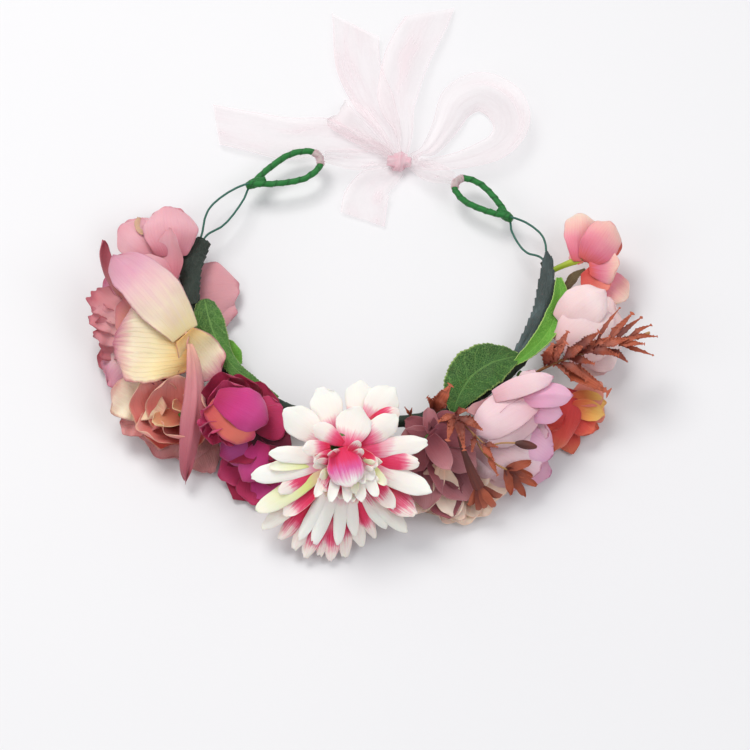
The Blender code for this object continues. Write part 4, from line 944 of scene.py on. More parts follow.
# the chrysanthemum's places are in mm from the middle of its room
mumPlan = {
    "nodes": ("chrysanthemum_petals", "chrysanthemum_heart"), "room": ("chrysanthemum_petals",),
    "slot": "white_pink_petal", "seed": 4.4,
    "finishes": ("mumPetal", "mumWhite", "mumGreen", "mumCup", "greenCalyx"),
    "neck": [(3, 30, -3), (3, 22, 3), (2, 12, 9), (2, 3, 15)],
    "petals": [
        ((-5, 8, 17), (-28, 25, 21), (-0.2, -0.3, 1.0), 18, {"finish": 1, "outline": "spoon", "cup": -0.5}),
        ((0, 14, 18), (-9, 38, 22), (0.0, -0.4, 1.0), 18, {"finish": 1, "outline": "spoon", "cup": -0.4}),
        ((12, 20, 16), (13, 43, 20), (0.0, -0.4, 1.0), 17, {"finish": 1, "outline": "spoon", "cup": -0.4}),
        ((16, 18, 18), (31, 40, 18), (0.1, -0.4, 1.0), 19, {"finish": 1, "outline": "spoon", "cup": -0.4}),
        ((6, 2, 22), (12, 25, 26), (0.0, -0.4, 1.0), 20, {"finish": 1, "outline": "spoon", "cup": -0.5,
         "curl": -0.04}),
        ((12, 6, 19), (33, 20, 23), (0.1, -0.4, 1.0), 14, {"finish": 1, "outline": "spoon", "cup": -0.6}),
        ((10, 10, 18), (34, 26, 19), (0.2, -0.3, 1.0), 12, {"outline": "spoon", "cup": -0.5}),
        ((4, 4, 22), (-12, 13, 26), (-0.1, -0.5, 1.0), 11, {"finish": 1, "outline": "spoon", "cup": -0.6}),
        ((10, 2, 18), (49, 8, 16), (0.1, -0.3, 1.0), 12, {"finish": 1, "outline": "strap", "cup": -0.5}),
        ((10, 0, 16), (45, -3, 13), (0.1, -0.4, 1.0), 10, {"outline": "strap", "cup": -0.5}),
        ((12, -2, 15), (51, -17, 7), (0.2, -0.4, 1.0), 13, {"finish": 1, "outline": "strap", "cup": -0.5}),
        ((14, -6, 12), (43, -26, -3), (0.3, -0.4, 1.0), 15, {"outline": "strap", "cup": -0.7, "tone": 0.1}),
        ((-4, -1, 19), (-36, 2, 15), (-0.2, -0.3, 1.0), 10, {"finish": 1, "outline": "strap", "cup": -0.5}),
        ((-6, -3, 17), (-36, -4, 11), (-0.2, -0.4, 1.0), 7, {"finish": 2, "outline": "strap"}),
        ((-4, -4, 18), (-46, -8, 7), (-0.2, -0.4, 1.0), 12, {"finish": 1, "outline": "strap", "cup": -0.5}),
        ((-4, -6, 17), (-43, -24, -3), (-0.3, -0.4, 1.0), 12, {"finish": 2, "outline": "strap", "cup": -0.4}),
        ((-4, -7, 15), (-40, -30, -11), (-0.4, -0.4, 0.9), 11, {"outline": "strap", "cup": -0.9}),
        ((-3, -8, 14), (-31, -34, -17), (-0.4, -0.5, 0.8), 12, {"outline": "strap", "cup": -1.1, "tone": 0.05}),
        ((-2, -9, 17), (-23, -39, -19), (-0.3, -0.6, 0.8), 12, {"outline": "strap", "cup": -1.1}),
        ((0, -10, 17), (-17, -43, -21), (-0.2, -0.7, 0.7), 14, {"outline": "strap", "cup": -1.1}),
        ((1, -10, 16), (-9, -42, -22), (-0.1, -0.8, 0.6), 11, {"outline": "strap", "cup": -1.3, "tone": 0.1}),
        ((2, -10, 16), (-3, -44, -23), (0.0, -0.8, 0.6), 12, {"outline": "strap", "cup": -1.1}),
        ((4, -10, 16), (5, -42, -23), (0.1, -0.8, 0.6), 11, {"outline": "strap", "cup": -1.1}),
        ((5, -9, 16), (14, -37, -20), (0.2, -0.7, 0.7), 12, {"outline": "strap", "cup": -1.1}),
        ((7, -9, 16), (21, -33, -17), (0.3, -0.7, 0.7), 9, {"outline": "strap", "cup": -1.3, "tone": 0.1}),
        ((8, -8, 16), (27, -29, -13), (0.3, -0.6, 0.8), 11, {"outline": "strap", "cup": -1.1}),
        ((9, -7, 15), (38, -31, -14), (0.4, -0.6, 0.8), 12, {"outline": "strap", "cup": -1.1}),
        ((-1, -12, 15), (-20, -36, -13), (-0.3, -0.7, 0.7), 8, {"finish": 1, "outline": "strap", "cup": -0.9}),
        ((2, -13, 15), (-12, -38, -14), (-0.1, -0.8, 0.6), 9, {"finish": 1, "outline": "strap", "cup": -0.9}),
        ((4, -13, 15), (1, -38, -15), (0.0, -0.8, 0.6), 8, {"finish": 1, "outline": "strap", "cup": -0.9}),
        ((7, -12, 15), (10, -34, -13), (0.2, -0.8, 0.6), 8, {"finish": 1, "outline": "strap", "cup": -0.9}),
        ((-2, -4, 19), (-31, -16, 4), (-0.3, -0.5, 0.9), 11, {"outline": "strap", "cup": -0.6}),
        ((2, 2, 22), (8, -20, 20), (0.0, -0.50, 0.85), 20, {"finish": 3, "outline": "dome", "cup": -0.65,
         "belly": -0.12, "rows": 14, "cols": 10, "crumple": 0.10}),
        ((8, -4, 20), (15, -17, 17), (0.2, -0.6, 0.8), 6, {"finish": 1, "outline": "strap"}),
        ((11, -2, 19), (20, -14, 15), (0.2, -0.6, 0.8), 8, {"finish": 1, "outline": "strap"}),
        ((12, 2, 20), (22, -8, 19), (0.2, -0.6, 0.8), 7, {"outline": "strap"}),
        ((6, -6, 20), (6, -26, 13), (0.0, -0.7, 0.7), 6, {"finish": 1, "outline": "strap"}),
        ((9, -5, 20), (14, -25, 12), (0.1, -0.7, 0.7), 7, {"finish": 1, "outline": "strap"}),
        ((12, -4, 20), (22, -22, 11), (0.2, -0.7, 0.7), 7, {"finish": 1, "outline": "strap"}),
        ((2, -6, 20), (-3, -26, 13), (-0.1, -0.7, 0.7), 6, {"finish": 1, "outline": "strap"}),
        ((-2, -6, 20), (-11, -23, 13), (-0.2, -0.7, 0.7), 6, {"outline": "strap", "tone": 0.9}),
        ((10, -5, 21), (10, -22, 15), (0.1, -0.7, 0.7), 5, {"finish": 2, "outline": "strap"}),
        ((14, -3, 19), (27, -16, 13), (0.2, -0.7, 0.7), 6, {"finish": 2, "outline": "strap"}),
        ((14, -6, 13), (31, -24, 1), (0.3, -0.7, 0.7), 10, {"outline": "strap"}),
        ((-3, -8, 15), (-28, -26, -4), (-0.3, -0.6, 0.8), 11, {"outline": "strap", "tone": 0.2}),
        ((-3, 3, 22), (-18, 0, 24), (-0.2, -0.5, 0.9), 9, {"finish": 1, "outline": "spoon", "cup": -0.5}),
        ((-2, 0, 22), (-12, -7, 22), (-0.2, -0.6, 0.8), 6, {"finish": 1, "outline": "strap", "cup": -0.6}),
    ],
    "tuft": {"count": 34, "long": (14, 20), "wide": (4, 7), "lean": (50, 84), "at": (5, -6, 14),
             "axis": (0.10, -0.66, 0.75), "back": 0.25},
    "under": {"count": 18, "long": (22, 30), "wide": (10, 14), "at": (2, -2, 2), "axis": (0.02, -0.62, 0.78),
              "back": 2.0},
}


def makeMum():
    room = Room(*mumPlan["room"])
    chance = random.Random(11)
    bm = beginShape()

    def place(offset):
        return room.middle + Vector(offset) * mm

    for index, (foot, lip, face, wide, extra) in enumerate(mumPlan["petals"]):
        growPetal(bm, {"foot": place(foot), "lip": place(lip), "face": face, "wide": wide, "belly": 0.05,
                       "ruffle": 0.02, "crumple": 0.05, "seed": 0.61 * index + mumPlan["seed"], **extra})
    neck = smoothPath([place(offset) for offset in mumPlan["neck"]], 1.5 * mm)
    growTube(bm, neck, lambda u, v: mm * (3.6 + 7.0 * v ** 1.6 + 0.4 * math.cos(16 * math.pi * u)), 4, 24)
    # short curled petals round the heart, then a low ring that closes the flower underneath
    for group in (mumPlan["tuft"], mumPlan["under"]):
        axis = Vector(group["axis"]).normalized()
        right = axis.cross(up).normalized()
        over = right.cross(axis)
        for index in range(group["count"]):
            turn = 2.4 * index + chance.uniform(-0.2, 0.2)
            low, high = group.get("lean", (84, 104))
            lean = math.radians(low + (high - low) * index / group["count"])
            ray = axis * math.cos(lean) + (right * math.cos(turn) + over * math.sin(turn)) * math.sin(lean)
            if ray.y > group["back"]:
                continue
            foot = place(group["at"]) + (ray - axis * ray.dot(axis)) * 2 * mm
            lip = foot + ray * chance.uniform(*group["long"]) * mm
            lip.z = max(lip.z, 1.5 * mm)
            growPetal(bm, {"foot": foot, "lip": lip, "face": axis + ray * 0.2, "cols": 6, "rows": 8,
                           "wide": chance.uniform(*group["wide"]), "outline": "strap", "cup": -0.7,
                           "curl": chance.uniform(-0.03, 0.10), "seed": chance.random() * 9,
                           "finish": 0 if index % 9 else 2, "tone": chance.random()})
    endShape(bm, "chrysanthemum", "crown", mumPlan["finishes"], clothWall["stiff"], 1, mumPlan["slot"],
             mumPlan["nodes"])


# the band's middle line, in mm and degrees
ring = {"halfWidth": 97.0, "halfDepth": 82.5, "x": -3.0, "y": -7.5, "height": 15.0, "from": 10.0, "to": -200.0}


def ringPoint(degrees, outward=0.0, height=ring["height"]):
    # a point on the head ring, moved outward in mm
    turn = math.radians(degrees)
    x, y = ring["halfWidth"] * math.cos(turn), ring["halfDepth"] * math.sin(turn)
    away = Vector((math.cos(turn) / ring["halfWidth"], math.sin(turn) / ring["halfDepth"], 0)).normalized()
    return (Vector((ring["x"] + x, ring["y"] + y, height)) + away * outward) * mm


leaves = {  # path: angle on the ring, distance outward, height; widths: share of the length, width
    "leftEndLeaf": {"node": "left_end_leaf", "finish": "leftEndLeaf", "slot": "end_leaf", "seed": 0.4,
                    "path": [(-198.5, 1, 18.6), (-191, 0.5, 20.0), (-182, 0, 20.0), (-171, -0.5, 19.4)],
                    "widths": [(0, 14.5), (0.15, 14.5), (0.6, 12.0), (1, 8.0)], "teeth": 9, "depth": 0.8,
                    "ragged": 1.6, "fold": -0.5, "creases": 0.8},
    "rightEndLeaf": {"node": "right_end_leaf", "finish": "rightEndLeaf", "slot": "end_leaf", "seed": 1.4,
                     "path": [(13, 1.5, 18.4), (6, 0, 20.0), (-8, -2, 20.6), (-20, -3, 20.4), (-37, -2, 19.4)],
                     "widths": [(0, 1.5), (0.08, 6.5), (0.3, 10.5), (0.62, 9.5), (0.85, 6.5), (1, 2.5)],
                     "teeth": 13, "depth": 1.1, "ragged": 1.2, "fold": -0.5, "creases": 0.5},
    "leftGreenLeaf": {"node": "left_green_leaf", "finish": "midLeaf", "slot": "dark_leaf", "seed": 2.6,
                      "path": [(-172, -7, 20.4), (-164, -6.5, 21.6), (-155, -5, 21.6), (-146, -3, 21.4),
                               (-137, -2, 21.0), (-121, -1.5, 19.8)],
                      "widths": [(0, 5), (0.03, 11), (0.10, 15), (0.20, 17), (0.34, 14.5), (0.50, 9.5),
                                 (0.75, 7.5), (1, 2.5)], "teeth": 40, "depth": 0.55, "fold": -0.45},
    "smallLightLeaf": {"node": "small_light_leaf", "finish": "brightLeaf", "slot": "bright_leaf", "seed": 3.1,
                       "path": [(-155, -8, 13.0), (-148, -9.5, 14.0), (-141, -8.5, 13.4)],
                       "widths": [(0, 3), (0.3, 9), (0.7, 9), (1, 2)], "teeth": 14, "depth": 0.4, "fold": 0.2},
    "rightBroadLeaf": {"node": "right_broad_leaf", "finish": "darkLeaf", "slot": "dark_leaf", "seed": 4.2,
                       "path": [(-64, 6, 20.2), (-59, -3, 21.8), (-52, -8.5, 22.8), (-44, -8.5, 22.8),
                                (-33, -1, 20.4)],
                       "widths": [(0, 3), (0.10, 12), (0.28, 23), (0.50, 29), (0.72, 26), (0.90, 14), (1, 4)],
                       "teeth": 30, "depth": 0.8, "fold": 0.25},
    "rightBrightLeaf": {"node": "right_bright_leaf", "finish": "brightLeaf", "slot": "bright_leaf",
                        "seed": 5.5, "path": [(1.5, 5.5, 20.6), (-8, 7, 22.4), (-19, 6, 23.0), (-29, 3.5, 22.4),
                                              (-38, 0, 20.4)],
                        "widths": [(0, 3), (0.12, 7), (0.40, 11.5), (0.66, 10), (0.88, 6), (1, 1.5)],
                        "teeth": 22, "depth": 0.35, "fold": 0.8},
    "brownLeaf": {"node": None, "finish": "brownLeaf", "slot": "dark_leaf", "seed": 6.5,
                  "path": [(-3, 8, 17.0), (2, 14, 20.0), (4, 20, 21.0)], "widths": [(0, 3), (0.5, 6), (1, 1.5)],
                  "teeth": 8, "depth": 0.3, "fold": 0.3},
}


def widthAt(widths, share):
    for (a, wide), (b, after) in zip(widths, widths[1:]):
        if share <= b:
            return wide + (after - wide) * (share - a) / (b - a)
    return widths[-1][1]


def growLeaf(bm, path, widths, leaf, cols=12):
    # a toothed leaf along a path; fold lifts or drops both sides of its midrib
    rows = len(path) - 1
    sides = []
    for i in range(rows + 1):
        along = (path[min(i + 1, rows)] - path[max(i - 1, 0)]).normalized()
        side = along.cross(up)
        side = (side - along * side.dot(along)).normalized()
        sides.append((along, side, side.cross(along).normalized()))
    teeth, depth, fold, seed = leaf["teeth"], leaf["depth"] * mm, leaf["fold"], leaf["seed"]

    def lay(u, v):
        i = round(v * rows)
        t = 2 * u - 1
        along, side, over = sides[i]
        half = widthAt(widths, v) * mm / 2
        tooth = (v * teeth + 0.3 * math.sin(seed + 9 * v)) % 1.0
        far = half - depth * tooth * abs(t) ** 8
        here = path[i] + side * far * t
        here += over * (fold * half * t * t * 0.6 + half * 0.05 * math.sin(v * teeth * 1.7) * abs(t) ** 3)
        here += over * half * 0.16 * noise.noise(Vector((t * 1.4 + seed, v * 4.0, seed * 3.1)))
        here += over * leaf.get("creases", 0.0) * mm * noise.noise(Vector((t * 2.2, v * 9.0, seed)))
        ragged = leaf.get("ragged", 0.0) * mm
        if ragged and v < 0.06:
            here -= along * ragged * (0.6 + noise.noise(Vector((t * 5.0, seed * 5.0, 0.3))) * 1.6)
        return here

    layGrid(bm, cols, rows, lay, 0, leaf.get("tone", 0.5))


def makeLeaves():
    for name, leaf in leaves.items():
        bm = beginShape()
        path = smoothPath([ringPoint(*point) for point in leaf["path"]], 0.45 * mm)
        growLeaf(bm, path, leaf["widths"], leaf)
        stands = (leaf["node"],) if leaf["node"] else ()
        endShape(bm, name, "crown", (leaf["finish"],), clothWall["stiff"], 0, leaf["slot"], stands)


sprigs = {  # terracotta foliage, placed in mm from the middle of each sprig's room
    "spray": {
        "room": "spray_leaves", "stands": ("spray_leaves", "spray_stem"), "slot": "terracotta_leaf",
        "stalks": [([(-38, -10, -16), (-32, -10, -8), (-23, -8, -3), (-3, -2, 0), (15, 3, 1), (25, 7, 1)], 0.9)],
        "leaves": [
            ((-30, -10, -5), (-20, 0, 4), 12, 5), ((-10, -4, 1), (8, -8, 3), 11, 6),
            ((-2, -2, 2), (14, 2, 4), 10, 6),
            ((-22, -8, -1), (-10, -2, 4), 12, 6), ((-16, -6, 1), (-2, 6, 4), 9, 5), ((5, 0, 2), (22, -1, 3), 8, 5),
            ((-28, -9, -5), (-19, 7, 3), 11, 5), ((-32, -10, -6), (-27, 0, 3), 11, 4),
            ((-27, -9, -4), (3, -24, -10), 18, 7), ((-20, -7, -2), (-5, -11, -1), 9, 5),
            ((-24, -8, -3), (-9, -19, -5), 9, 5), ((-12, -5, -1), (4, 4, 2), 10, 6),
            ((-14, -5, 0), (-1, -3, 3), 9, 6), ((-6, -2, 0), (9, 21, 3), 4, 3), ((0, -1, 1), (16, 19, 1), 8, 5),
            ((4, 0, 1), (21, 16, 2), 6, 4), ((10, 2, 1), (29, 5, 0), 6, 4), ((8, 0, 0), (27, -5, -3), 5, 3),
            ((2, -2, 0), (13, -9, -3), 8, 5), ((12, 3, 1), (26, 12, 0), 5, 3), ((6, 0, 2), (20, 3, 4), 7, 5),
            ((-18, -7, 0), (-8, 4, 2), 8, 5)],
    },
    "bellSprig": {
        "room": "bell_sprig_leaves", "stands": ("bell_sprig_leaves", "bell_sprig_stem"),
        "slot": "terracotta_leaf",
        "stalks": [([(-13, 34, -22), (-13, 29, -12), (-13, 24, -3), (-11, 14, 3), (-10, 8, 3)], 0.8),
                   ([(-12, 24, -3), (-4, 14, 0), (4, 8, -3), (12, 9, -3), (20, 10, -5)], 0.5),
                   ([(-4, 14, 0), (2, 4, -3), (9, -1, -8), (15, -2, -13)], 0.6)],
        "leaves": [
            ((-13, 25, -2), (-17, 7, 3), 9, 5), ((-12, 24, -1), (-8, 1, 4), 10, 6),
            ((-13, 26, -3), (-22, 22, -4), 8, 5), ((-12, 24, -1), (2, 14, 2), 11, 5),
            ((-13, 27, -4), (-6, 27, 0), 8, 5), ((1, 8, -2), (8, -1, -4), 7, 5), ((2, 8, -2), (10, 6, -2), 6, 4),
            ((-2, 12, 0), (-4, 2, 0), 6, 4), ((4, 3, -4), (10, -7, -10), 6, 4)],
        "bell": {"path": [(-11, 10, 4), (-8, 2, 0), (-4, -5, -9), (0, -10, -18)], "radii": (0.9, 1.6, 2.6, 3.2),
                 "tips": [(4, -19, -30), (14, -12, -28), (-6, -17, -31), (0, -20, -31), (10, -18, -30)]},
        "flowerlet": {"foot": (14, -2, -12), "tips": [(29, -1, -24), (22, -7, -30), (28, 5, -18), (31, -5, -27),
                                                      (17, -10, -28), (25, -10, -30)]},
        "bud": {"path": [(19, 10, -5), (24, 9.6, -6), (31, 9, -8)]},
    },
    "smallTerracottaLeaf": {
        "room": "small_terracotta_leaf", "stands": ("small_terracotta_leaf",), "slot": "terracotta_leaf",
        "stalks": [([(6, -8, -8), (5, -6, -5), (6, -5, -3)], 0.7),
                   ([(-4, -14, -8), (-6, -13, -3), (-8, -11, 2)], 0.5),
                   ([(6, -7, -8), (10, -16, -4), (16, -17, 4), (14, -22, 10)], 0.6)],
        "leaves": [((5, -8, -5), (14, 3, 9), 15, 7), ((5, -6, -5), (1, -3, 6), 9, 4),
                   ((-8, -12, 1), (-11, -9, 6), 3, 2), ((-8, -12, 1), (-7, -10, 7), 3, 2)],
    },
}


def makeSprig(name, plan):
    room = Room(plan["room"])
    bm = beginShape()

    def place(offset):
        return room.middle + Vector(offset) * mm

    for points, radius in plan["stalks"]:
        path = smoothPath([place(point) for point in points], 1.2 * mm)
        growTube(bm, path, radius * mm, 2, 8)
    for index, (foot, tip, wide, teeth) in enumerate(plan["leaves"]):
        foot, tip = place(foot), place(tip)
        bend = Vector((0, 0, (tip - foot).length * (0.10 + 0.06 * math.sin(index * 2.1))))
        path = smoothPath([foot, foot.lerp(tip, 0.5) + bend, tip], (tip - foot).length / 34)
        look = {"teeth": teeth * 2, "depth": wide * 0.34, "fold": 0.35, "seed": index * 1.7,
                "tone": 0.5 + 0.5 * math.sin(index * 4.1)}
        widths = [(0, 0.8), (0.12, wide * 0.30), (0.40, wide * 0.9), (0.70, wide * 0.56), (0.9, wide * 0.24),
                  (1, 0.7)]
        growLeaf(bm, path, widths, look, 8)
    if "bell" in plan:
        bell = plan["bell"]
        path = smoothPath([place(point) for point in bell["path"]], 0.9 * mm)
        radii = bell["radii"]

        def swell(u, v):
            spot = v * (len(radii) - 1)
            first = min(int(spot), len(radii) - 2)
            wide = radii[first] + (radii[first + 1] - radii[first]) * (spot - first)
            return wide * mm * (1 + 0.10 * math.cos(10 * math.pi * u))

        growTube(bm, path, swell, 1, 20, 0.3)
        mouth = path[-1]
        for index, tip in enumerate(bell["tips"]):
            tip = place(tip)
            tip.z = max(tip.z, 1.5 * mm)
            growPetal(bm, {"foot": path[-4].lerp(tip, 0.02), "lip": tip, "wide": 4.6, "outline": "leaf",
                           "face": (tip - mouth).cross(Vector((1, 0.3, 0.1))), "cup": -0.6, "curl": 0.16,
                           "belly": -0.14, "seed": index * 1.3, "finish": 0})
    if "flowerlet" in plan:
        flower = plan["flowerlet"]
        for index, tip in enumerate(flower["tips"]):
            growPetal(bm, {"foot": place(flower["foot"]), "lip": place(tip), "wide": 5.2, "outline": "square",
                           "face": (-0.3, -0.4, 0.9), "cup": 0.6, "ruffle": 0.12, "waves": 3.0,
                           "seed": index * 0.7, "finish": 0})
    if "bud" in plan:
        path = smoothPath([place(point) for point in plan["bud"]["path"]], 0.6 * mm)
        growTube(bm, path, lambda u, v: mm * (0.35 + 2.1 * math.sin(math.pi * min(1.0, v * 0.94 + 0.03)) ** 0.8)
                 * (1 + 0.06 * math.cos(6 * math.pi * u)), 1, 18, 0.2)
    endShape(bm, name, "crown", ("terracotta", "darkBud", "sprigStalk"), 0, 1, plan["slot"], plan["stands"])


frameEnds = {  # angles on the ring and distances outward in mm
    "left": {"band": -200.0, "twist": (-228.5, 1.5), "tip": (-254.0, 0.6), "halfEye": 8.6, "loopOut": 8.0,
             "loopIn": 3.6},
    "right": {"band": 10.0, "twist": (34.0, -5.5), "tip": (59.0, -6.0), "halfEye": 7.0, "loopOut": 7.6,
              "loopIn": 4.8},
}
wires = {"radius": 0.6, "apart": 2.2, "crossing": 3.7, "eyeHeight": 12.5, "tape": 1.7, "band": 3.2,
         "bandFrom": 11.5, "bandSweep": 213.0, "bandSteps": 20,
         "eyeShape": ((0.30, 0.62), (0.66, 1.00), (0.92, 0.66))}


def awayFrom(along, degrees):
    # the level direction across a line, on its outward side
    across = along.cross(up).normalized()
    return across if across.dot(ringPoint(degrees, 1.0) - ringPoint(degrees)) > 0 else -across


def eyeBranch(end, side, lift):
    twist, tip = ringPoint(*end["twist"], wires["eyeHeight"]), ringPoint(*end["tip"], wires["eyeHeight"])
    along = tip - twist
    across = awayFrom(along, end["twist"][0])
    points = [twist + up * lift * mm]
    for share, wide in wires["eyeShape"]:
        points.append(twist + share * along + side * wide * end["halfEye"] * mm * across
                      + up * lift * (1 - share) * 0.9 * mm)
    return points + [tip]


def openLoop(end, side):
    # the bare wires bow apart between the band and the eyelet
    start = ringPoint(end["band"], side * wires["apart"] / 2)
    twist = ringPoint(*end["twist"], wires["eyeHeight"])
    belly = (end["loopOut"] if side > 0 else end["loopIn"]) * mm
    across = awayFrom(twist - start, end["band"])
    return [start + 0.30 * (twist - start) + side * 0.8 * belly * across,
            (start + twist) / 2 + side * belly * across,
            start + 0.78 * (twist - start) + side * 0.72 * belly * across]


def paperTwist(u, v):
    # the paper round a wire is wound in a fine spiral
    return wires["radius"] * mm * (1 + 0.05 * math.cos(2 * math.pi * (u + 240 * v)))


def windTape(radius, step, bump, turns, lumps):
    # each turn of tape steps up over the last, with a few lumps where stems are bound in
    def lap(u, v):
        turn = (v * turns + u) % 1.0
        lump = noise.noise(Vector((math.cos(oneTurn * u), math.sin(oneTurn * u), v * lumps)))
        return mm * (radius + step * turn ** 3 + bump * lump)
    return lap


def makeFrame():
    left, right = frameEnds["left"], frameEnds["right"]
    for name, node, side in (("outerWire", "outer_wire", 1), ("innerWire", "inner_wire", -1)):
        lift = side * wires["crossing"] / 2
        leftLoop, rightLoop = openLoop(left, side), openLoop(right, side)
        first, sweep, steps = wires["bandFrom"], wires["bandSweep"], wires["bandSteps"]
        band = [ringPoint(first - sweep * i / steps, side * wires["apart"] / 2) for i in range(steps + 1)]
        path = smoothPath(eyeBranch(right, -side, lift)[::-1] + rightLoop[::-1] + band + leftLoop
                          + eyeBranch(left, -side, lift), 1.5 * mm)
        bm = beginShape()
        growTube(bm, path, paperTwist)
        endShape(bm, name, "crown", ("greenWire",), 0, 0, "paper_wire", (node,), closed=True)
    span = ring["from"] - ring["to"]
    steps = 700  # fine enough for each turn of tape to show its edge
    path = [ringPoint(ring["from"] - span * i / steps) for i in range(steps + 1)]
    bm = beginShape()
    growTube(bm, path, windTape(wires["band"] - 0.25, 0.35, 0.45, 46, 60.0), 0, 26)
    endShape(bm, "bandTape", "crown", ("darkTape",), 0, 0, "dark_tape", ("band_tape",), closed=True)
    for sideName, end in frameEnds.items():
        upper = smoothPath(eyeBranch(end, -1, wires["crossing"] / 2), 0.45 * mm)
        lower = smoothPath(eyeBranch(end, 1, -wires["crossing"] / 2), 0.45 * mm)
        loop = upper + lower[::-1][1:]
        bm = beginShape()
        growTube(bm, loop, windTape(wires["tape"] - 0.05, 0.28, 0.26, 15, 34.0), 0, 20)
        # the first turns of tape hold the crossing together
        twist, tip = upper[0].lerp(lower[0], 0.5), upper[-1]
        crossing = smoothPath([twist - (tip - twist) * 0.05, twist, twist + (tip - twist) * 0.13,
                               twist + (tip - twist) * 0.22], 0.5 * mm)
        growTube(bm, crossing, lambda u, v: mm * (1.7 + 1.0 * math.sin(math.pi * min(1.0, v * 1.15)))
                 * (1.0 + 0.06 * ((v * 5 + u) % 1.0)), 0, 20)
        endShape(bm, sideName + "EyeTape", "crown", ("greenTape",), 0, 0, "green_tape",
                 (sideName + "_eye_tape",), closed=True)


ribbonTails = {  # centre line from the knot (x, y, height) and share of the ribbon's width there, in mm
    "leftTail": {"node": "left_tail", "body": "left_tail", "corner": (-8, 0), "flat": (0.025, 0.094),
                 "hinge": ((7.5, 84.3, 1.2), (-5, 84.3, 1.2)), "slant": 0.20, "ripple": 1.1,
                 "line": [(4, 3, 4, 0.24), (-3.8, 10.5, 2.0, 0.30), (-18, 12, 3.0, 0.56), (-32, 16, 2.6, 0.88),
                          (-52, 15, 1.8, 1.0), (-72, 19, 2.2, 1.0), (-92, 24, 1.2, 0.95)]},
    "backLeftTail": {"node": "back_left_tail", "body": "back_tails", "corner": (0, 7.5),
                     "flat": (0.025, 0.082), "hinge": ((13.2, 81, 4), (13.2, 92, 4)), "slant": -0.34,
                     "ripple": 1.0,
                     "line": [(-1, -3, 4, 0.24), (-3.5, 5, 2.4, 0.30), (-5, 13.5, 2.2, 0.50),
                              (-13, 29.5, 2.0, 0.88), (-22, 52.5, 1.6, 1.0), (-24, 78.5, 1.2, 1.0)]},
    "backRightTail": {"node": "back_right_tail", "body": "back_tails", "corner": (0, 7.5),
                      "flat": (0.025, 0.092), "hinge": ((13.2, 81, 4), (13.2, 92, 4)), "slant": 0.30,
                      "ripple": 1.0,
                      "line": [(2, -3, 6, 0.24), (3, 5, 5.6, 0.30), (2, 13.5, 6.0, 0.48), (-1, 29.5, 6.4, 0.88),
                               (4, 54.5, 5.6, 1.0), (13, 76.5, 3.2, 1.0), (17, 86.5, 1.8, 0.92)]},
    "frontTail": {"node": "front_tail", "body": "front_tail", "corner": (0, -7.5), "flat": (0.025, 0.036),
                  "hinge": ((9.2, 69.5, 1.2), (9.2, 60, 1.2)), "slant": -0.10, "ripple": 0.8,
                  "line": [(0, 3, 3, 0.28), (-5, -1, 2.2, 0.44), (-13, -5.5, 2.6, 0.84), (-18, -14.5, 2.4, 0.98),
                           (-20, -26.5, 1.4, 1.0)]},
}
ribbon = {  # in mm; shares are how much of its width the ribbon shows, along its length
    "width": 25.0, "knotAt": (80.4, 0.0), "knot": (16.0, 15.0, 9.5), "step": 1.6,
    "bigLoop": [(21, 75, 6), (31, 82, 7), (39, 95, 8), (46, 109, 8.5), (58, 115, 8.5), (70, 108, 8.5),
                (74, 95, 8.5), (67, 83, 8), (51, 76, 7), (34, 73, 6), (21, 73, 5)],
    "bigHeart": (54, 94, 8),
    "bigShares": [(0, 0.26), (0.12, 0.46), (0.28, 0.80), (0.5, 0.94), (0.72, 0.82), (0.88, 0.5), (1, 0.26)],
    "smallLoop": [(9, 78, 6), (0, 88, 8), (-9, 97, 9), (-17, 102, 8.5), (-20, 102.5, 6.5), (-16, 99, 4.4),
                  (-7, 91, 3.6), (7, 79, 4)],
    "smallShares": [(0, 0.22), (0.2, 0.46), (0.5, 0.74), (0.8, 0.46), (1, 0.22)],
    "strandShares": [(0, 0.28), (0.3, 0.48), (0.6, 0.52), (1, 0.30)],
    "turnRadius": 2.15, "knotRadius": 2.7, "wrap": (0.8, 4.6, 3.2), "wrapSteps": 48,
    "knotCore": [(-6.5, 0.5, 0.4), (-3, 0, 0.2), (3, 0, 0.2), (6.5, -0.5, 0.4)],
}


def layRibbon(bm, path, shares, look, across=None):
    # a ribbon along a path; where it is gathered its width is taken up in lengthwise folds
    rows = len(path) - 1
    sides = []
    for i in range(rows + 1):
        along = (path[min(i + 1, rows)] - path[max(i - 1, 0)]).normalized()
        side = across(i / rows) if across else along.cross(up)
        side = (side - along * side.dot(along)).normalized()
        sides.append((along, side, side.cross(along)))
    folds, slant, seed = look.get("folds", 2.5), look.get("slant", 0.0), look.get("seed", 0.0)
    ripple = look.get("ripple", 1.0) * mm

    def lay(u, v):
        i = round(v * rows)
        t = 2 * u - 1
        along, side, over = sides[i]
        share = widthAt(shares, v)
        half = share * ribbon["width"] * mm / 2
        here = path[i] + side * half * t
        gathered = max(0.0, 1 - share)
        here += over * gathered * look.get("deep", 1.1) * mm * (1 + math.sin(2 * math.pi * folds * u + seed))
        here += over * ripple * (0.5 + noise.noise(Vector((t * 1.1 + seed, v * 3.6, seed * 2.0)))) * share
        here += over * ripple * 0.8 * abs(t) ** 2 * (1 + math.sin(9.0 * v + 2.0 * t + seed)) * share
        here += along * slant * ribbon["width"] * mm * t * max(0.0, v - 0.6) / 0.4
        here.z = max(here.z, 0.4 * mm) if look.get("lies", True) else here.z
        return here

    layGrid(bm, look.get("cols", 40), rows, lay, 0, seed % 1.0)


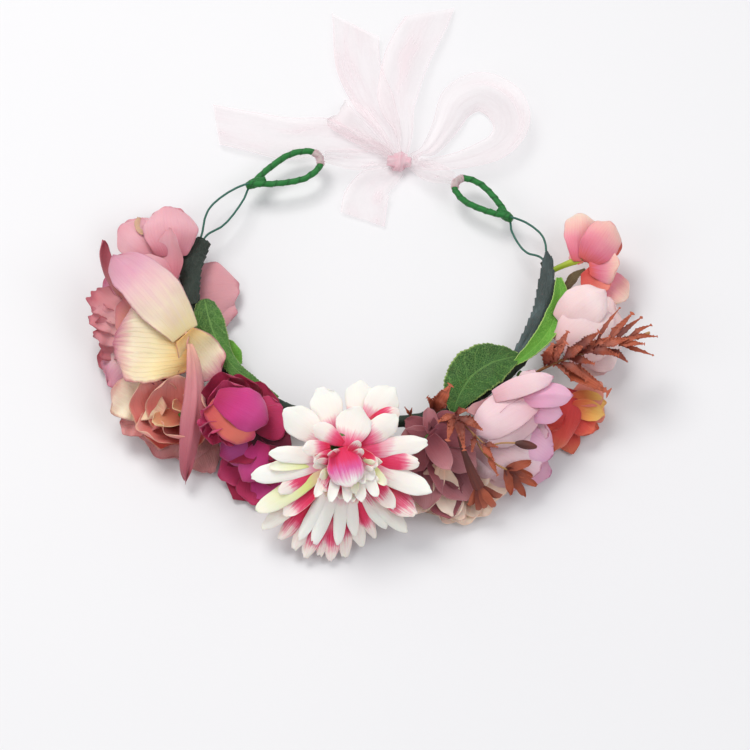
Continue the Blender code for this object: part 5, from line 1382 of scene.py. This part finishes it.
def endRibbon(bm, name, finish, hinge, body, stands):
    # a hinge is the stretch over which a tail turns from following the bow to following its own body
    piece = standPiece(bm, name, [finishes[finish]])
    if hinge:
        start, stop = (Vector(point) * mm for point in hinge)
        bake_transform(piece, "bow", body, start, stop)
    else:
        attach(piece, body)
    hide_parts(*stands)
    return piece


def turnFolds(u, v):
    ripples = 0.25 * math.sin(14 * math.pi * v)
    return mm * (ribbon["turnRadius"] + ripples + 0.2 * math.cos(6 * math.pi * u + 9 * v))


def coreFolds(u, v):
    bulge = 1.0 * math.sin(math.pi * v) ** 2
    return mm * (ribbon["knotRadius"] + bulge + 0.25 * math.cos(10 * math.pi * u + 5 * v))


def makeRibbon():
    knotFoot = ringPoint(*ribbon["knotAt"], 0.0)
    middle = knotFoot + up * ribbon["knot"][2] / 2 * mm
    seed = 0.0
    for name, tail in ribbonTails.items():
        seed += 1.3
        corner = knotFoot + Vector((*tail["corner"], 0)) * mm
        line = [corner + Vector(point[:3]) * mm for point in tail["line"]]
        path = smoothPath(line, ribbon["step"] * mm)
        reach = [0.0]
        for a, b in zip(line, line[1:]):
            reach.append(reach[-1] + (b - a).length)
        shares = [(far / reach[-1], point[3]) for far, point in zip(reach, tail["line"])]
        bm = beginShape()
        layRibbon(bm, path, shares, {"slant": tail["slant"], "ripple": tail["ripple"], "seed": seed})
        piece = endRibbon(bm, name, "organza", tail["hinge"], tail["body"], (tail["node"],))
    # the big loop lies open on its edge, the small one is folded over the left tail
    path = smoothPath([Vector(point) * mm for point in ribbon["bigLoop"]], ribbon["step"] * mm)
    heart = Vector(ribbon["bigHeart"]) * mm

    def openOut(v):
        here = path[round(v * (len(path) - 1))]
        return (here - heart).normalized() * 0.86 + up * 0.50 * math.sin(math.pi * v)

    bm = beginShape()
    layRibbon(bm, path, ribbon["bigShares"], {"seed": 7.7, "ripple": 1.2}, openOut)
    piece = endRibbon(bm, "rightLoop", "organza", None, "bow", ("right_loop",))
    smallPath = smoothPath([Vector(point) * mm for point in ribbon["smallLoop"]], ribbon["step"] * mm)
    bm = beginShape()
    layRibbon(bm, smallPath, ribbon["smallShares"], {"seed": 4.1, "ripple": 0.6},
              lambda v: Vector((0.66, 0.75, 0)))
    piece = endRibbon(bm, "leftLoop", "organza", ribbonTails["leftTail"]["hinge"], "left_tail", ("left_loop",))
    # the strands from the eyelets to the knot, and the turns round the eyelets' tips
    for name, end, side, length in (("leftStrand", frameEnds["left"], -1, 0.037),
                                    ("rightStrand", frameEnds["right"], 1, 0.032)):
        tip = ringPoint(*end["tip"], wires["eyeHeight"])
        stop = middle + Vector((side * 6.0, -1.0, 2.0)) * mm
        start = tip.lerp(stop, 0.06)
        sag = start.lerp(stop, 0.55) + Vector((0, -0.5, -1.2)) * mm
        path = smoothPath([start, sag, stop], ribbon["step"] * mm)
        bm = beginShape()
        layRibbon(bm, path, ribbon["strandShares"],
                  {"seed": 2.0 + side, "folds": 4.0, "deep": 1.4, "ripple": 0.8, "cols": 56, "lies": False})
        piece = endRibbon(bm, name, "organza", None, "bow", ("left_strand" if side < 0 else "right_strand",))
        upper = smoothPath(eyeBranch(end, -1, wires["crossing"] / 2), 0.5 * mm)
        lower = smoothPath(eyeBranch(end, 1, -wires["crossing"] / 2), 0.5 * mm)
        loop = upper + lower[::-1][1:]
        centre = len(upper) - 1
        bm = beginShape()
        growTube(bm, loop[centre - 9:centre + 10], turnFolds, 0, 24, 0.5)
        sideName = "left" if side < 0 else "right"
        piece = endRibbon(bm, sideName + "RibbonTurn", "organzaKnot", None, "crown", (sideName + "_ribbon_turn",))
    # the knot: a wrapped band over a gathered core
    bm = beginShape()
    core = smoothPath([middle + Vector(point) * mm for point in ribbon["knotCore"]], 0.5 * mm)
    growTube(bm, core, coreFolds, 0, 64, 0.4)
    wide, deep, tall = ribbon["wrap"]
    rows = ribbon["wrapSteps"]
    wrap = []
    for i in range(rows + 1):
        turn = 2 * math.pi * i / rows
        offset = Vector((wide * math.sin(turn + 0.6), deep * math.cos(turn), tall * math.sin(turn)))
        wrap.append(middle + offset * mm)

    def wrapRound(u, v):
        here = wrap[round(v * rows)]
        away = Vector((0, (here - middle).y / 5.4 ** 2, (here - middle).z / 3.0 ** 2)).normalized()
        t = 2 * u - 1
        swell = 1.1 * math.cos(math.pi / 2 * t) + 0.25 * math.cos(3 * math.pi * u + 2 * math.sin(oneTurn * v))
        return here + (Vector((1, 0, 0)) * (3.0 + 0.8 * math.sin(2 * oneTurn * v)) * t + away * swell) * mm

    layGrid(bm, 26, rows, wrapRound, 0, 0.7)
    piece = endRibbon(bm, "bowKnot", "organzaKnot", None, "bow", ("bow_knot",))


innerPetals = [((-1.0, 0.20, 0.40), (1.04, 0.46, 0.30), (0.0, -0.08, 1.0), 34, {"outline": "wide", "cup": -0.4,
                "belly": -0.08, "cols": 10}),
               ((-1.0, -0.10, -0.40), (0.96, -0.36, -0.40), (0.0, 0.05, 1.0), 33, {"outline": "wide", "cup": -0.4,
                "belly": -0.05, "tone": 0.05})]


def makeInnerPetal():
    room = Room("inner_petal")
    bm = beginShape()
    for index, (foot, lip, face, wide, extra) in enumerate(innerPetals):
        growPetal(bm, {"foot": room.at(*foot), "lip": room.at(*lip), "face": face, "wide": wide,
                       "seed": 1.9 + index, "crumple": 0.04, **extra})
    endShape(bm, "innerPetal", "crown", ("innerPetal",), clothWall["stiff"], 1, "pale_pink_petal",
             ("inner_petal",))


limeStem = {  # line in shares of its room, sizes in mm
    "line": [(-0.98, -0.5, -0.1), (-0.8, -0.4, 0.15), (0.0, 0.1, 0.6), (0.9, 0.6, 1.0), (1.8, 1.0, 1.3)],
    "radius": 1.5, "flare": 0.9, "ribs": 0.12,
}


def stemRibs(u, v):
    # it widens towards the blossom and has four soft ribs
    return mm * (limeStem["radius"] + limeStem["flare"] * v ** 2 + limeStem["ribs"] * math.cos(8 * math.pi * u))


def makeLimeStem():
    room = Room("blossom_stem")
    bm = beginShape()
    growTube(bm, smoothPath([room.at(*point) for point in limeStem["line"]], 0.7 * mm), stemRibs, 0, 18, 0.5)
    endShape(bm, "limeStem", "blossom", ("limeStem",), 0, 0, "lime_stem", ("blossom_stem",), closed=True)


def calyxFinish():
    made = Finish("greenCalyx", {"Specular IOR Level": 0.4})
    place = made.place()
    cloudy = made.noise(place, 140.0, 4.0)
    made.feed("Base Color", made.mix(shade("2F5A1E"), shade("57863A"), cloudy.step(0.35, 0.65)))
    made.feed("Roughness", cloudy * 0.2 + 0.45)
    made.feed("Normal", made.bump(made.noise(place, 700.0, 3.0), 0.3, 0.0003))
    finishes["greenCalyx"] = made.material


def dressCalyces():
    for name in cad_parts:
        if name.endswith("_calyx"):
            for place in bpy.data.objects[name].material_slots:
                place.material = finishes["greenCalyx"]


setStudio()
makeFinishes()
calyxFinish()
print("finishes made:", len(finishes))
for bloom, plan in bloomPlans.items():
    makeBloom(bloom, plan)
print("flowers made:", len(bloomPlans))
makeMum()
print("chrysanthemum made")
makeInnerPetal()
makeLimeStem()
makeLeaves()
for sprig, plan in sprigs.items():
    makeSprig(sprig, plan)
print("leaves and sprigs made")
makeFrame()
print("wires and tapes made")
makeRibbon()
dressCalyces()
print("ribbon made, calyces dressed")
